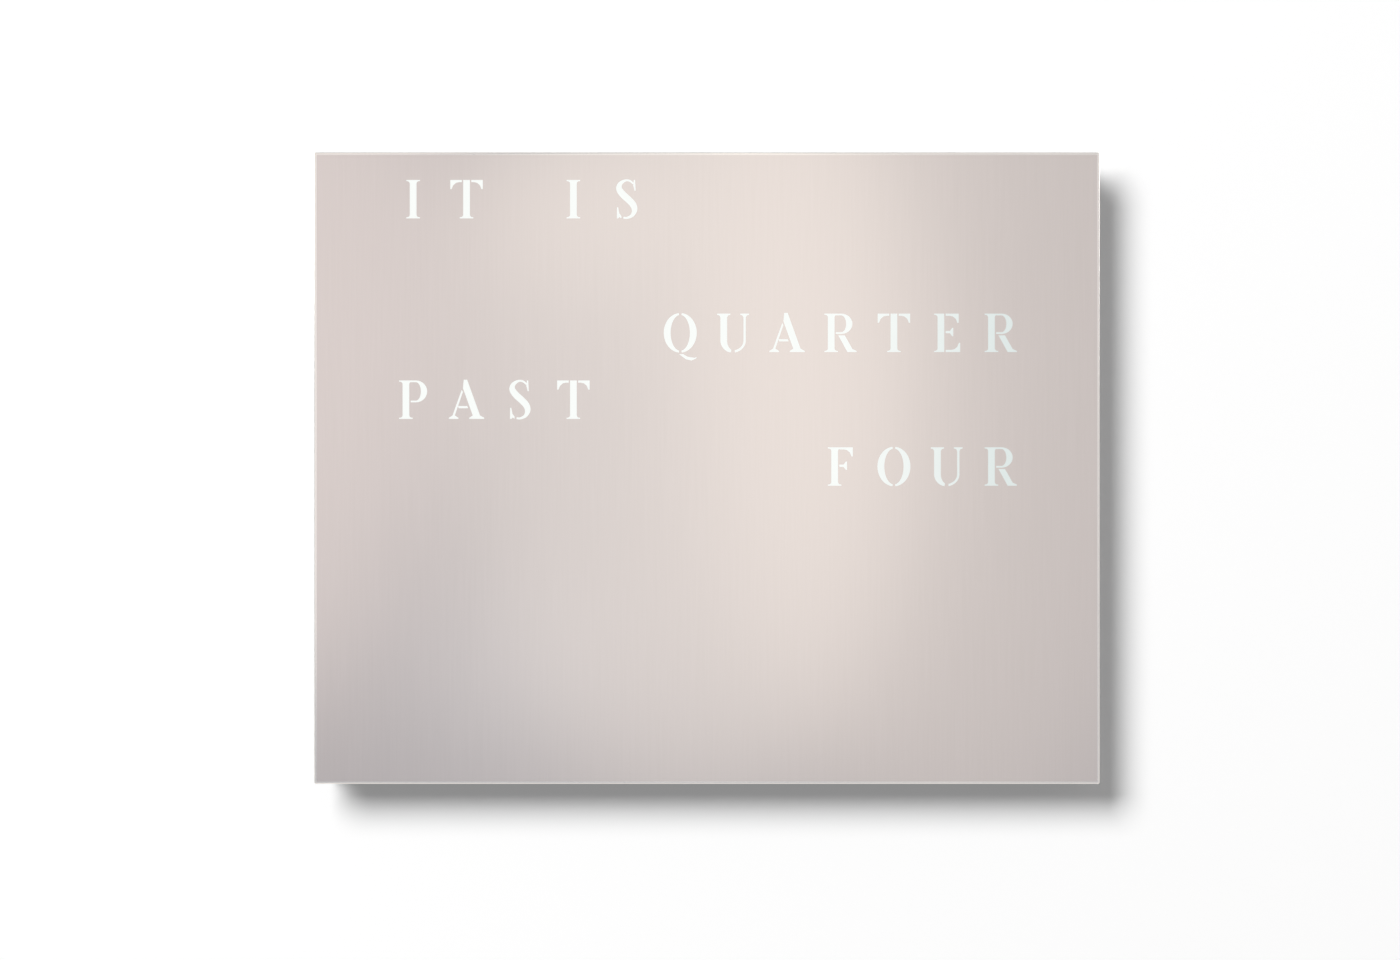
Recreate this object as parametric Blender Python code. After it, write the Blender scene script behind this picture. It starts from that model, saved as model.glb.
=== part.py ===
"""Word clock: a flat metal front that hides a matrix of letters. Magnets hold it on a shallow
frame of mitred rails, which carries the lamp strips, the light grid and the electronics.

The clock is modelled lying on its back on a bench: x to the right, y up the wall and z out
from the wall. The empty wall_plane stands it up, so that the room is at -Y and +Z is up.
All lengths are in metres.
"""

import math

import bmesh
import bpy
from mathutils import Matrix, Vector

# Letter matrix: the columns follow a strip with thirty lamps to the metre
COLUMNS = 12
ROWS = 9
COLUMN_PITCH = 0.03333
ROW_PITCH = 0.0417

# Clearances
SEAT_GAP = 0.0003
SLIDE_GAP = 0.0004
OVERRUN = 0.001
JOIN_SINK = 0.0002

# Front panel, letter mask and diffuser, which come off together
PANEL_THICKNESS = 0.002
PANEL_OVERHANG = 0.00575
PANEL_CORNER = 0.0008
PANEL_CHAMFER = 0.0006
MASK_THICKNESS = 0.0005
DIFFUSER_THICKNESS = 0.001
STRIKE_RADIUS = 0.006
STRIKE_THICKNESS = 0.0008

# Frame rails, an extruded profile with a ledge inside
RAIL_WALL = 0.002
RAIL_CHAMFER = 0.0005
LEDGE_REACH = 0.005
LEDGE_THICKNESS = 0.0015
SIDE_BAY = 0.03625

# Corner blocks, with a magnet in front and a screw behind
BLOCK_SIDE = 0.017
BLOCK_CUT = 0.005
MAGNET_RADIUS = 0.005
MAGNET_THICKNESS = 0.003

# Light grid
GRID_DEPTH = 0.015
GRID_WALL = 0.002
GRID_LIP = 0.0012
GRID_FIT = 0.0006
BOSS_RADIUS = 0.004
BOSS_COLUMN = 5
BOSS_ROW = 3.5

# Lamp strips, their end clips and the ribbons between them
STRIP_WIDTH = 0.010
STRIP_THICKNESS = 0.0004
STRIP_TAIL = 0.003
LAMP_SIDE = 0.005
LAMP_HEIGHT = 0.0016
CLIP_LENGTH = 0.0022
CLIP_WIDTH = 0.008
CLIP_HEIGHT = 0.0024
CHANNEL_SIDE = 0.0015
CHANNEL_ROOF = 0.0006
RIBBON_WIDTH = 0.004
RIBBON_LEG = 0.0025
RIBBON_REACH = 0.0045
RIBBON_BEND = 0.002
RIBBON_THICKNESS = 0.0008

# Lamp carrier and back cover
CARRIER_THICKNESS = 0.002
CARRIER_MARGIN = 0.0012
COVER_THICKNESS = 0.0025
VENT_COUNT = 7
VENT_PITCH = 0.010
VENT_WIDTH = 0.003
VENT_LENGTH = 0.034
VENT_HEIGHT = 0.140
KEYHOLE_HEIGHT = 0.120
KEYHOLE_HEAD_RADIUS = 0.0045
KEYHOLE_SLOT_RADIUS = 0.0025
KEYHOLE_RISE = 0.009

# Countersunk screws
SCREW_RADIUS = 0.0013
SCREW_HEAD_RADIUS = 0.0029
SCREW_HEAD_DEPTH = 0.0016
SCREW_RIM = 0.0003
SCREW_LENGTH = 0.010
SCREW_TIP = 0.001
SCREW_SOCKET_RADIUS = 0.0011
SCREW_SOCKET_DEPTH = 0.0011
PILOT_SPARE = 0.0015

# Pegs of the back cover, on which the boards sit
PEG_HEIGHT = 0.003
PEG_RADIUS = 0.0022
PEG_PIN_RADIUS = 0.001
PEG_PIN_PROUD = 0.0008
PEG_INSET = 0.0026
BOARD_THICKNESS = 0.0016
BOARD_SIDE_GAP = 0.0014

# Controller board
CONTROLLER_GAP = 0.0049
RADIO_LENGTH = 0.024
RADIO_WIDTH = 0.0155
RADIO_BOARD = 0.001
CAN_LENGTH = 0.016
CAN_WIDTH = 0.012
CAN_HEIGHT = 0.0034
PLUG_LENGTH = 0.0075
PLUG_DEPTH = 0.0058
PLUG_HEIGHT = 0.006
CAPACITOR_RADIUS = 0.0032
CAPACITOR_HEIGHT = 0.0085
CAPACITOR_GAP = 0.0016
COIL_SIDE = 0.006
COIL_HEIGHT = 0.003

# Clock module and its cell
CLOCK_ROOM = 0.004
PIN_COUNT = 4
PIN_PITCH = 0.00254
PIN_SIDE = 0.00064
HEADER_HEIGHT = 0.0025
CELL_RADIUS = 0.00625
CELL_THICKNESS = 0.002
CELL_STEP = 0.0005
HOLDER_FLOOR = 0.0008
HOLDER_WALL = 0.001
CHIP_LENGTH = 0.0075
CHIP_WIDTH = 0.0052
CHIP_HEIGHT = 0.0018
CHIP_GAP = 0.0021

# Supply socket in the bottom rail
SOCKET_RADIUS = 0.0039
SOCKET_FLANGE_RADIUS = 0.0055
SOCKET_FLANGE = 0.0016
SOCKET_CHAMFER = 0.0004
SOCKET_INSIDE = 0.0125
SOCKET_BORE_RADIUS = 0.003
SOCKET_BORE_DEPTH = 0.0095
SOCKET_PIN_RADIUS = 0.00105
SOCKET_PIN_SETBACK = 0.001
SOCKET_TAG_WIDTH = 0.002
SOCKET_TAG_THICKNESS = 0.0006
SOCKET_TAG_LENGTH = 0.0035
SOCKET_TAG_OFFSET = 0.0022
NUT_ACROSS = 0.011
NUT_THICKNESS = 0.0025

# Setting buttons in the left rail
BUTTONS = ("hour", "minute", "brightness")
BUTTON_PITCH = 0.020
BUTTON_END = 0.011
BUTTON_ROOM = 0.014
BUTTON_TRAVEL = 0.001
CAP_RADIUS = 0.003
CAP_PROUD = 0.0016
CAP_CROWN = 0.0004
CAP_DISH = 0.0003
CAP_FLANGE_RADIUS = 0.0042
CAP_FLANGE = 0.001
CAP_STEM_RADIUS = 0.0016
STEM_ENTRY = 0.0003
HOLDER_THICKNESS = 0.002
HOLDER_WIDTH = 0.014
POST_RADIUS = 0.0016
POST_PIN_RADIUS = 0.0009
POST_INSET = 0.0026
SWITCH_SIDE = 0.006
SWITCH_HEIGHT = 0.0035
SWITCH_ROOM = 0.0028

# Leads inside the case
FEED_RADIUS = 0.0015
FEED_ROOM = 0.026
SUPPLY_RADIUS = 0.0012
BUTTON_LEAD_RADIUS = 0.0009
LEAD_STRAIGHT = 0.005

# How finely round shapes are cut up
ROUND_SIDES = 16
SMALL_SIDES = 10
PEG_SIDES = 8
HEX_SIDES = 6
KEYHOLE_HEAD_STEPS = 12
KEYHOLE_SLOT_STEPS = 6
RIBBON_STEPS = 2
VENT_STEPS = 2
LEAD_RESOLUTION = 2
LEAD_SPACING = 8
SMOOTH_ANGLE = math.radians(35)
WELD_DISTANCE = 1e-7

# Depths from the wall, each layer seated on the one behind it
ledge_back = COVER_THICKNESS + SEAT_GAP
ledge_front = ledge_back + LEDGE_THICKNESS
carrier_back = ledge_front + SEAT_GAP
carrier_front = carrier_back + CARRIER_THICKNESS
strip_back = carrier_front + SEAT_GAP
grid_back = carrier_front + SEAT_GAP
grid_front = grid_back + GRID_DEPTH
diffuser_back = grid_front + SEAT_GAP
mask_back = diffuser_back + DIFFUSER_THICKNESS + SEAT_GAP
rail_depth = mask_back + MASK_THICKNESS
panel_back = rail_depth + SEAT_GAP
strike_back = panel_back - SEAT_GAP - STRIKE_THICKNESS
magnet_back = strike_back - SEAT_GAP - MAGNET_THICKNESS
block_front = magnet_back + MAGNET_THICKNESS - SEAT_GAP
channel_middle = (ledge_front + rail_depth) / 2

# Widths and heights, from the matrix outwards
grid_width = COLUMNS * COLUMN_PITCH + GRID_WALL
grid_height = ROWS * ROW_PITCH + GRID_WALL
inner_width = grid_width + 2 * SIDE_BAY
inner_height = grid_height + 2 * GRID_FIT
frame_width = inner_width + 2 * RAIL_WALL
frame_height = inner_height + 2 * RAIL_WALL
panel_width = frame_width + 2 * PANEL_OVERHANG
panel_height = frame_height + 2 * PANEL_OVERHANG
strip_end = grid_width / 2 + STRIP_TAIL
carrier_width = 2 * (strip_end + SEAT_GAP + RIBBON_REACH + CARRIER_MARGIN)
carrier_height = inner_height - 2 * SEAT_GAP
cover_width = inner_width - 2 * SEAT_GAP
cover_height = inner_height - 2 * SEAT_GAP

# The side bay between the lamp carrier and the rail's ledge
ledge_edge = inner_width / 2 - LEDGE_REACH
bay_middle = (ledge_edge + carrier_width / 2) / 2
board_width = ledge_edge - carrier_width / 2 - 2 * BOARD_SIDE_GAP
board_back = COVER_THICKNESS + PEG_HEIGHT + SEAT_GAP
board_front = board_back + BOARD_THICKNESS

# Places of the corner blocks, and of what is fixed in them
block_corner_x = inner_width / 2 - SEAT_GAP
block_corner_y = inner_height / 2 - SEAT_GAP
fixing_x = block_corner_x - BLOCK_SIDE / 2
fixing_y = block_corner_y - BLOCK_SIDE / 2
boss_x = BOSS_COLUMN * COLUMN_PITCH
boss_y = BOSS_ROW * ROW_PITCH
pilot_radius = SCREW_RADIUS + SEAT_GAP
pilot_depth = SCREW_LENGTH + PILOT_SPARE

# Lengths of the boards, from what stands on them in turn
controller_length = (
    PLUG_DEPTH + CAPACITOR_GAP + 2 * CAPACITOR_RADIUS + CONTROLLER_GAP + PLUG_LENGTH
    + CONTROLLER_GAP + RADIO_LENGTH + PEG_RADIUS + PEG_INSET
)
cup_radius = CELL_RADIUS + SEAT_GAP + HOLDER_WALL
clock_length = 2 * HEADER_HEIGHT + CHIP_WIDTH + CHIP_GAP + 2 * cup_radius + PEG_INSET

# Places up the left bay, from the socket to the buttons
socket_x = -(block_corner_x - BLOCK_SIDE + grid_width / 2) / 2
socket_tail = -inner_height / 2 + SOCKET_INSIDE + SOCKET_TAG_LENGTH
controller_low = socket_tail + FEED_ROOM
controller_y = controller_low + controller_length / 2
clock_low = controller_low + controller_length + CLOCK_ROOM
clock_y = clock_low + clock_length / 2
holder_length = (len(BUTTONS) - 1) * BUTTON_PITCH + 2 * BUTTON_END
holder_y = clock_low + clock_length + BUTTON_ROOM + holder_length / 2
button_places = [
    holder_y + (index - (len(BUTTONS) - 1) / 2) * BUTTON_PITCH for index in range(len(BUTTONS))
]

# Insets of the button stack, from the outer face of the left rail
holder_face = RAIL_WALL + SEAT_GAP
holder_inner = holder_face + HOLDER_THICKNESS
switch_top = holder_inner + SWITCH_ROOM
stem_tip = switch_top + STEM_ENTRY
well_depth = STEM_ENTRY + BUTTON_TRAVEL + SLIDE_GAP
button_board_face = switch_top + SWITCH_HEIGHT
button_board_back = button_board_face + BOARD_THICKNESS
switch_plug_low = 2 * POST_INSET - holder_length / 2

CONTROLLER_PEGS = ((-1, -1), (1, -1), (1, 1), (-1, 1))
CLOCK_PEGS = ((-1, -1), (1, 1))
CORNERS = {
    "bottom_left": (-1, -1, 0.0),
    "bottom_right": (1, -1, 0.5),
    "top_right": (1, 1, 1.0),
    "top_left": (-1, 1, 1.5),
}


def clear_scene():
    for item in list(bpy.data.objects):
        bpy.data.objects.remove(item, do_unlink=True)


def linear(channel):
    """One sRGB channel, 0 to 255, as linear light."""
    share = channel / 255
    return share / 12.92 if share <= 0.04045 else ((share + 0.055) / 1.055) ** 2.4


def finish(name, colour, roughness, metallic=0.0, alpha=1.0):
    """A Principled material from an sRGB hex colour."""
    material = bpy.data.materials.new(name)
    material.use_nodes = True
    shader = material.node_tree.nodes["Principled BSDF"]
    red, green, blue = (linear((colour >> shift) & 255) for shift in (16, 8, 0))
    shader.inputs["Base Color"].default_value = (red, green, blue, 1.0)
    shader.inputs["Roughness"].default_value = roughness
    shader.inputs["Metallic"].default_value = metallic
    shader.inputs["Alpha"].default_value = alpha
    return material


# Shapes

def box(bm, low, high):
    """Add a box between two opposite corners."""
    low, high = Vector(low), Vector(high)
    place = Matrix.Translation((low + high) / 2) @ Matrix.Diagonal((*(high - low), 1.0))
    bmesh.ops.create_cube(bm, size=1.0, matrix=place)


def rod(bm, start, end, radius, far_radius=None, sides=SMALL_SIDES):
    """Add a round bar or a cone between two points."""
    start, end = Vector(start), Vector(end)
    along = end - start
    place = Matrix.Translation((start + end) / 2) @ along.to_track_quat("Z", "Y").to_matrix().to_4x4()
    bmesh.ops.create_cone(
        bm, cap_ends=True, segments=sides, radius1=radius,
        radius2=radius if far_radius is None else far_radius, depth=along.length, matrix=place,
    )


def loft(bm, rings):
    """Add a solid through rings of as many points each, capped at both ends."""
    rows = [[bm.verts.new(point) for point in ring] for ring in rings]
    for near, far in zip(rows, rows[1:]):
        for index, corner in enumerate(near):
            following = (index + 1) % len(near)
            bm.faces.new((corner, near[following], far[following], far[index]))
    bm.faces.new(list(reversed(rows[0])))
    bm.faces.new(rows[-1])


def level(outline, height):
    """A flat outline as a ring of points at one height."""
    return [(x, y, height) for x, y in outline]


def prism(bm, outline, low, high):
    """Add an outline drawn out between two heights."""
    loft(bm, [level(outline, low), level(outline, high)])


def arc(centre, radius, first, last, steps):
    """Points on an arc, from one angle to another, in half turns."""
    angles = (math.pi * (first + (last - first) * step / steps) for step in range(steps + 1))
    return [(centre[0] + radius * math.cos(a), centre[1] + radius * math.sin(a)) for a in angles]


def rounded(width, height, radius, steps=3):
    """A rectangle's outline round the origin, with round corners."""
    x, y = width / 2 - radius, height / 2 - radius
    centres = ((x, y), (-x, y), (-x, -y), (x, -y))
    return [
        point
        for quarter, centre in enumerate(centres)
        for point in arc(centre, radius, quarter / 2, quarter / 2 + 0.5, steps)
    ]


def turned(bm, profile, sides=ROUND_SIDES):
    """Turn (radius, height) points round the z axis; the profile starts and ends on it."""
    points = [bm.verts.new((radius, 0, height)) for radius, height in profile]
    edges = [bm.edges.new(pair) for pair in zip(points, points[1:])]
    bmesh.ops.spin(
        bm, geom=points + edges, cent=(0, 0, 0), axis=(0, 0, 1), angle=math.tau, steps=sides,
        use_merge=True,
    )
    bmesh.ops.remove_doubles(bm, verts=bm.verts, dist=WELD_DISTANCE)


def add_turned(bm, profile, location, sides=SMALL_SIDES):
    """Add a turned shape beside others in the same bmesh."""
    shape = bmesh.new()
    turned(shape, profile, sides)
    bmesh.ops.recalc_face_normals(shape, faces=shape.faces)
    bmesh.ops.translate(shape, verts=shape.verts, vec=location)
    mesh = bpy.data.meshes.new("turned")
    shape.to_mesh(mesh)
    shape.free()
    bm.from_mesh(mesh)
    bpy.data.meshes.remove(mesh)


# Objects

def piece(name, bm, material, parent, location=(0, 0, 0), rotation=(0, 0, 0), smooth=False):
    """One sub-part from a bmesh, at its place under its parent."""
    bmesh.ops.recalc_face_normals(bm, faces=bm.faces)
    mesh = bpy.data.meshes.new(name)
    bm.to_mesh(mesh)
    bm.free()
    if material:
        mesh.materials.append(material)
    if smooth:
        mesh.shade_smooth()
        mesh.set_sharp_from_angle(angle=SMOOTH_ANGLE)
    return placed(name, mesh, parent, location, rotation)


def placed(name, mesh, parent, location=(0, 0, 0), rotation=(0, 0, 0)):
    item = bpy.data.objects.new(name, mesh)
    bpy.context.collection.objects.link(item)
    item.parent = parent
    item.location = location
    item.rotation_euler = rotation
    return item


def change(target, bm, operation):
    """Cut or join a shape, given in the target's own frame."""
    tool = piece(f"{target.name}_{operation.lower()}_{len(target.modifiers)}", bm, None, target)
    tool.hide_render = True
    tool.display_type = "WIRE"
    modifier = target.modifiers.new(operation.lower(), "BOOLEAN")
    modifier.operation = operation
    modifier.solver = "EXACT"
    modifier.object = tool


def cut(target, bm):
    change(target, bm, "DIFFERENCE")


def join(target, bm):
    change(target, bm, "UNION")


def settled(item):
    """The item's mesh with its modifiers applied, for the copies of a repeated piece."""
    bpy.context.view_layer.update()
    graph = bpy.context.evaluated_depsgraph_get()
    mesh = bpy.data.meshes.new_from_object(item.evaluated_get(graph))
    for tool in list(item.children):
        bpy.data.objects.remove(tool, do_unlink=True)
    bpy.data.objects.remove(item, do_unlink=True)
    return mesh


def empty(name, parent=None, location=(0, 0, 0), rotation=(0, 0, 0)):
    item = bpy.data.objects.new(name, None)
    bpy.context.collection.objects.link(item)
    item.parent = parent
    item.location = location
    item.rotation_euler = rotation
    return item


def corner_place(corner, x, y, depth):
    """The location and turn of a piece that repeats in the four corners."""
    side_x, side_y, turn = CORNERS[corner]
    return (side_x * x, side_y * y, depth), (0, 0, turn * math.pi)


# Front, which the magnets hold

def front_panel(front, material):
    outline = rounded(panel_width, panel_height, PANEL_CORNER)
    face = rounded(
        panel_width - 2 * PANEL_CHAMFER, panel_height - 2 * PANEL_CHAMFER,
        PANEL_CORNER - PANEL_CHAMFER,
    )
    bm = bmesh.new()
    loft(bm, [
        level(outline, 0), level(outline, PANEL_THICKNESS - PANEL_CHAMFER),
        level(face, PANEL_THICKNESS),
    ])
    piece("front_panel", bm, material, front)


def letter_mask(front, material):
    bm = bmesh.new()
    prism(bm, rounded(grid_width, grid_height, PANEL_CORNER), 0, MASK_THICKNESS)
    piece("letter_mask", bm, material, front, (0, 0, mask_back - panel_back))


def diffuser_sheet(front, material):
    bm = bmesh.new()
    prism(bm, rounded(grid_width, grid_height, PANEL_CORNER), 0, DIFFUSER_THICKNESS)
    piece("diffuser_sheet", bm, material, front, (0, 0, diffuser_back - panel_back))


def strikes(front, material):
    """Steel discs bonded behind the panel, one to each magnet."""
    bm = bmesh.new()
    rod(bm, (0, 0, 0), (0, 0, STRIKE_THICKNESS), STRIKE_RADIUS, sides=ROUND_SIDES)
    mesh = settled(piece("strike", bm, material, None, smooth=True))
    for corner in CORNERS:
        place, turn = corner_place(corner, fixing_x, fixing_y, strike_back - panel_back)
        placed(f"strike_{corner}", mesh, front, place, turn)


# Frame

def rail(name, length, material, wall, location, turn):
    """A length of the profile, mitred at both ends. Its own y points out of the frame."""
    profile = [
        (RAIL_CHAMFER, 0), (RAIL_WALL, 0), (RAIL_WALL, ledge_back),
        (RAIL_WALL + LEDGE_REACH, ledge_back), (RAIL_WALL + LEDGE_REACH, ledge_front),
        (RAIL_WALL, ledge_front), (RAIL_WALL, rail_depth), (RAIL_CHAMFER, rail_depth),
        (0, rail_depth - RAIL_CHAMFER), (0, RAIL_CHAMFER),
    ]
    relief = SEAT_GAP / math.sqrt(2)
    ends = [
        [(side * (length / 2 - inset - relief), -inset, depth) for inset, depth in profile]
        for side in (-1, 1)
    ]
    bm = bmesh.new()
    loft(bm, ends)
    return piece(name, bm, material, wall, location, (0, 0, turn * math.pi))


def frame_rails(wall, material):
    rail("frame_rail_top", frame_width, material, wall, (0, frame_height / 2, 0), 0)
    bottom = rail("frame_rail_bottom", frame_width, material, wall, (0, -frame_height / 2, 0), 1)
    left = rail("frame_rail_left", frame_height, material, wall, (-frame_width / 2, 0, 0), 0.5)
    rail("frame_rail_right", frame_height, material, wall, (frame_width / 2, 0, 0), -0.5)
    socket_hole(bottom)
    cap_holes(left)


def socket_hole(bottom):
    """The supply socket's hole; the bottom rail's own x runs to the left."""
    bm = bmesh.new()
    rod(
        bm, (-socket_x, OVERRUN, channel_middle), (-socket_x, -RAIL_WALL - OVERRUN, channel_middle),
        SOCKET_RADIUS + SEAT_GAP, sides=ROUND_SIDES,
    )
    cut(bottom, bm)


def cap_holes(left):
    """The button caps' holes; the left rail's own x runs upwards."""
    bm = bmesh.new()
    for place in button_places:
        rod(
            bm, (place, OVERRUN, channel_middle), (place, -RAIL_WALL - OVERRUN, channel_middle),
            CAP_RADIUS + SLIDE_GAP, sides=ROUND_SIDES,
        )
    cut(left, bm)


def corner_blocks(wall, material):
    """Blocks that tie the rails, each with a magnet pocket and a pilot hole for its screw."""
    side = BLOCK_SIDE
    outline = [
        (0, 0), (side, 0), (side, side - BLOCK_CUT), (side - BLOCK_CUT, side), (0, side),
    ]
    bm = bmesh.new()
    prism(bm, outline, 0, block_front - carrier_back)
    block = piece("corner_block", bm, material, None)
    middle = side / 2
    pocket_floor = magnet_back - SEAT_GAP - carrier_back
    bm = bmesh.new()
    rod(bm, (middle, middle, -OVERRUN), (middle, middle, pilot_depth - carrier_back), pilot_radius)
    rod(
        bm, (middle, middle, pocket_floor), (middle, middle, block_front - carrier_back + OVERRUN),
        MAGNET_RADIUS + SEAT_GAP, sides=ROUND_SIDES,
    )
    cut(block, bm)
    mesh = settled(block)
    for corner in CORNERS:
        place, turn = corner_place(corner, block_corner_x, block_corner_y, carrier_back)
        placed(f"corner_block_{corner}", mesh, wall, place, turn)


def magnets(wall, material):
    bm = bmesh.new()
    rod(bm, (0, 0, 0), (0, 0, MAGNET_THICKNESS), MAGNET_RADIUS, sides=ROUND_SIDES)
    mesh = settled(piece("magnet", bm, material, None, smooth=True))
    for corner in CORNERS:
        place, turn = corner_place(corner, fixing_x, fixing_y, magnet_back)
        placed(f"magnet_{corner}", mesh, wall, place, turn)


# Light grid and lamps

def cell_centres():
    return [
        ((column - (COLUMNS - 1) / 2) * COLUMN_PITCH, ((ROWS - 1) / 2 - row) * ROW_PITCH)
        for row in range(ROWS)
        for column in range(COLUMNS)
    ]


def cell_cutters():
    """One tapered cutter for each letter's cell, wider at the front as a moulding's draft is."""
    bm = bmesh.new()
    levels = ((-OVERRUN, GRID_WALL), (0, GRID_WALL), (GRID_DEPTH, GRID_LIP), (GRID_DEPTH + OVERRUN, GRID_LIP))
    for x, y in cell_centres():
        rings = []
        for height, wall in levels:
            half_x, half_y = (COLUMN_PITCH - wall) / 2, (ROW_PITCH - wall) / 2
            corners = ((-1, -1), (1, -1), (1, 1), (-1, 1))
            rings.append([(x + half_x * side_x, y + half_y * side_y, height) for side_x, side_y in corners])
        loft(bm, rings)
    return bm


def light_grid(wall, material):
    """The moulded grid that keeps each lamp's light to its own letter."""
    bm = bmesh.new()
    box(bm, (-grid_width / 2, -grid_height / 2, 0), (grid_width / 2, grid_height / 2, GRID_DEPTH))
    grid = piece("light_grid", bm, material, wall, (0, 0, grid_back))
    cut(grid, cell_cutters())
    boss_height = pilot_depth - CARRIER_THICKNESS
    bosses, bores = bmesh.new(), bmesh.new()
    for side_x, side_y, _ in CORNERS.values():
        x, y = side_x * boss_x, side_y * boss_y
        rod(bosses, (x, y, 0), (x, y, boss_height), BOSS_RADIUS)
        rod(bores, (x, y, -OVERRUN), (x, y, boss_height - OVERRUN), pilot_radius)
    join(grid, bosses)
    channel = STRIP_WIDTH / 2 + CHANNEL_SIDE
    reach = grid_width / 2 + OVERRUN
    for row in range(ROWS):
        y = ((ROWS - 1) / 2 - row) * ROW_PITCH
        box(bores, (-reach, y - channel, -OVERRUN), (reach, y + channel, STRIP_THICKNESS + CHANNEL_ROOF))
    cut(grid, bores)


def led_strips(wall, material):
    """A strip behind each row, with a lamp behind each letter and a clip at each end."""
    half = STRIP_WIDTH / 2
    bm = bmesh.new()
    box(bm, (-strip_end, -half, 0), (strip_end, half, STRIP_THICKNESS))
    strip = piece("led_strip", bm, material, None)
    sink = STRIP_THICKNESS / 2
    fittings = bmesh.new()
    lamp = LAMP_SIDE / 2
    for column in range(COLUMNS):
        x = (column - (COLUMNS - 1) / 2) * COLUMN_PITCH
        box(fittings, (x - lamp, -lamp, sink), (x + lamp, lamp, STRIP_THICKNESS + LAMP_HEIGHT))
    for side in (-1, 1):
        outer, inner = side * strip_end, side * (strip_end - CLIP_LENGTH)
        box(
            fittings, (min(outer, inner), -CLIP_WIDTH / 2, sink),
            (max(outer, inner), CLIP_WIDTH / 2, CLIP_HEIGHT),
        )
    join(strip, fittings)
    mesh = settled(strip)
    for row in range(ROWS):
        y = ((ROWS - 1) / 2 - row) * ROW_PITCH
        placed(f"led_strip_{row + 1}", mesh, wall, (0, y, strip_back))


def strip_jumpers(wall, material):
    """Flat ribbons that carry the supply from each strip to the next, at alternate ends."""
    arm = RIBBON_WIDTH / 2
    top = ROW_PITCH / 2
    corner_x, corner_y = RIBBON_REACH - RIBBON_BEND, top + arm - RIBBON_BEND
    inner = RIBBON_REACH - RIBBON_LEG
    outline = [(0, -top - arm)]
    outline += arc((corner_x, -corner_y), RIBBON_BEND, -0.5, 0, RIBBON_STEPS)
    outline += arc((corner_x, corner_y), RIBBON_BEND, 0, 0.5, RIBBON_STEPS)
    outline += [(0, top + arm), (0, top - arm), (inner, top - arm), (inner, arm - top), (0, arm - top)]
    bm = bmesh.new()
    prism(bm, outline, 0, RIBBON_THICKNESS)
    mesh = settled(piece("strip_jumper", bm, material, None))
    for row in range(ROWS - 1):
        side = 1 if row % 2 == 0 else -1
        y = ((ROWS - 2) / 2 - row) * ROW_PITCH
        turn = 0 if side > 0 else math.pi
        place = (side * (strip_end + SEAT_GAP), y, strip_back)
        placed(f"strip_jumper_{row + 1}", mesh, wall, place, (0, 0, turn))


def countersunk_holes(bm, places, thickness):
    """Add a cutter for each countersunk hole of a plate, the heads at depth zero."""
    rim = SCREW_HEAD_RADIUS + SEAT_GAP
    profile = [
        (0, -OVERRUN), (rim, -OVERRUN), (rim, SCREW_RIM), (pilot_radius, SCREW_HEAD_DEPTH + SEAT_GAP),
        (pilot_radius, thickness + OVERRUN), (0, thickness + OVERRUN),
    ]
    for x, y in places:
        add_turned(bm, profile, (x, y, 0))


def screw_places(x, y):
    return [(side_x * x, side_y * y) for side_x, side_y, _ in CORNERS.values()]


def led_carrier(wall, material):
    """The flat plate that the strips are stuck on; it rests on the rails' ledges."""
    bm = bmesh.new()
    half_x, half_y = carrier_width / 2, carrier_height / 2
    box(bm, (-half_x, -half_y, 0), (half_x, half_y, CARRIER_THICKNESS))
    carrier = piece("led_carrier", bm, material, wall, (0, 0, carrier_back))
    holes = bmesh.new()
    countersunk_holes(holes, screw_places(boss_x, boss_y), CARRIER_THICKNESS)
    cut(carrier, holes)


# Back cover and screws

def keyhole(x, y):
    """A keyhole's outline: a round hole for the wall screw's head, with a slot above it."""
    half = KEYHOLE_SLOT_RADIUS
    lean = math.asin(half / KEYHOLE_HEAD_RADIUS) / math.pi
    head = arc((x, y), KEYHOLE_HEAD_RADIUS, 0.5 + lean, 2.5 - lean, KEYHOLE_HEAD_STEPS)
    return head + arc((x, y + KEYHOLE_RISE), half, 0, 1, KEYHOLE_SLOT_STEPS)


def peg_offsets(length, sides):
    """Places of a board's pegs from its middle, near the given corners."""
    x, y = board_width / 2 - PEG_INSET, length / 2 - PEG_INSET
    return [(side_x * x, side_y * y) for side_x, side_y in sides]


def peg_places():
    """Where the cover's pegs stand, under the controller board and the clock module."""
    boards = (
        (controller_y, controller_length, CONTROLLER_PEGS), (clock_y, clock_length, CLOCK_PEGS),
    )
    return [
        (x - bay_middle, y + middle)
        for middle, length, sides in boards
        for x, y in peg_offsets(length, sides)
    ]


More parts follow.
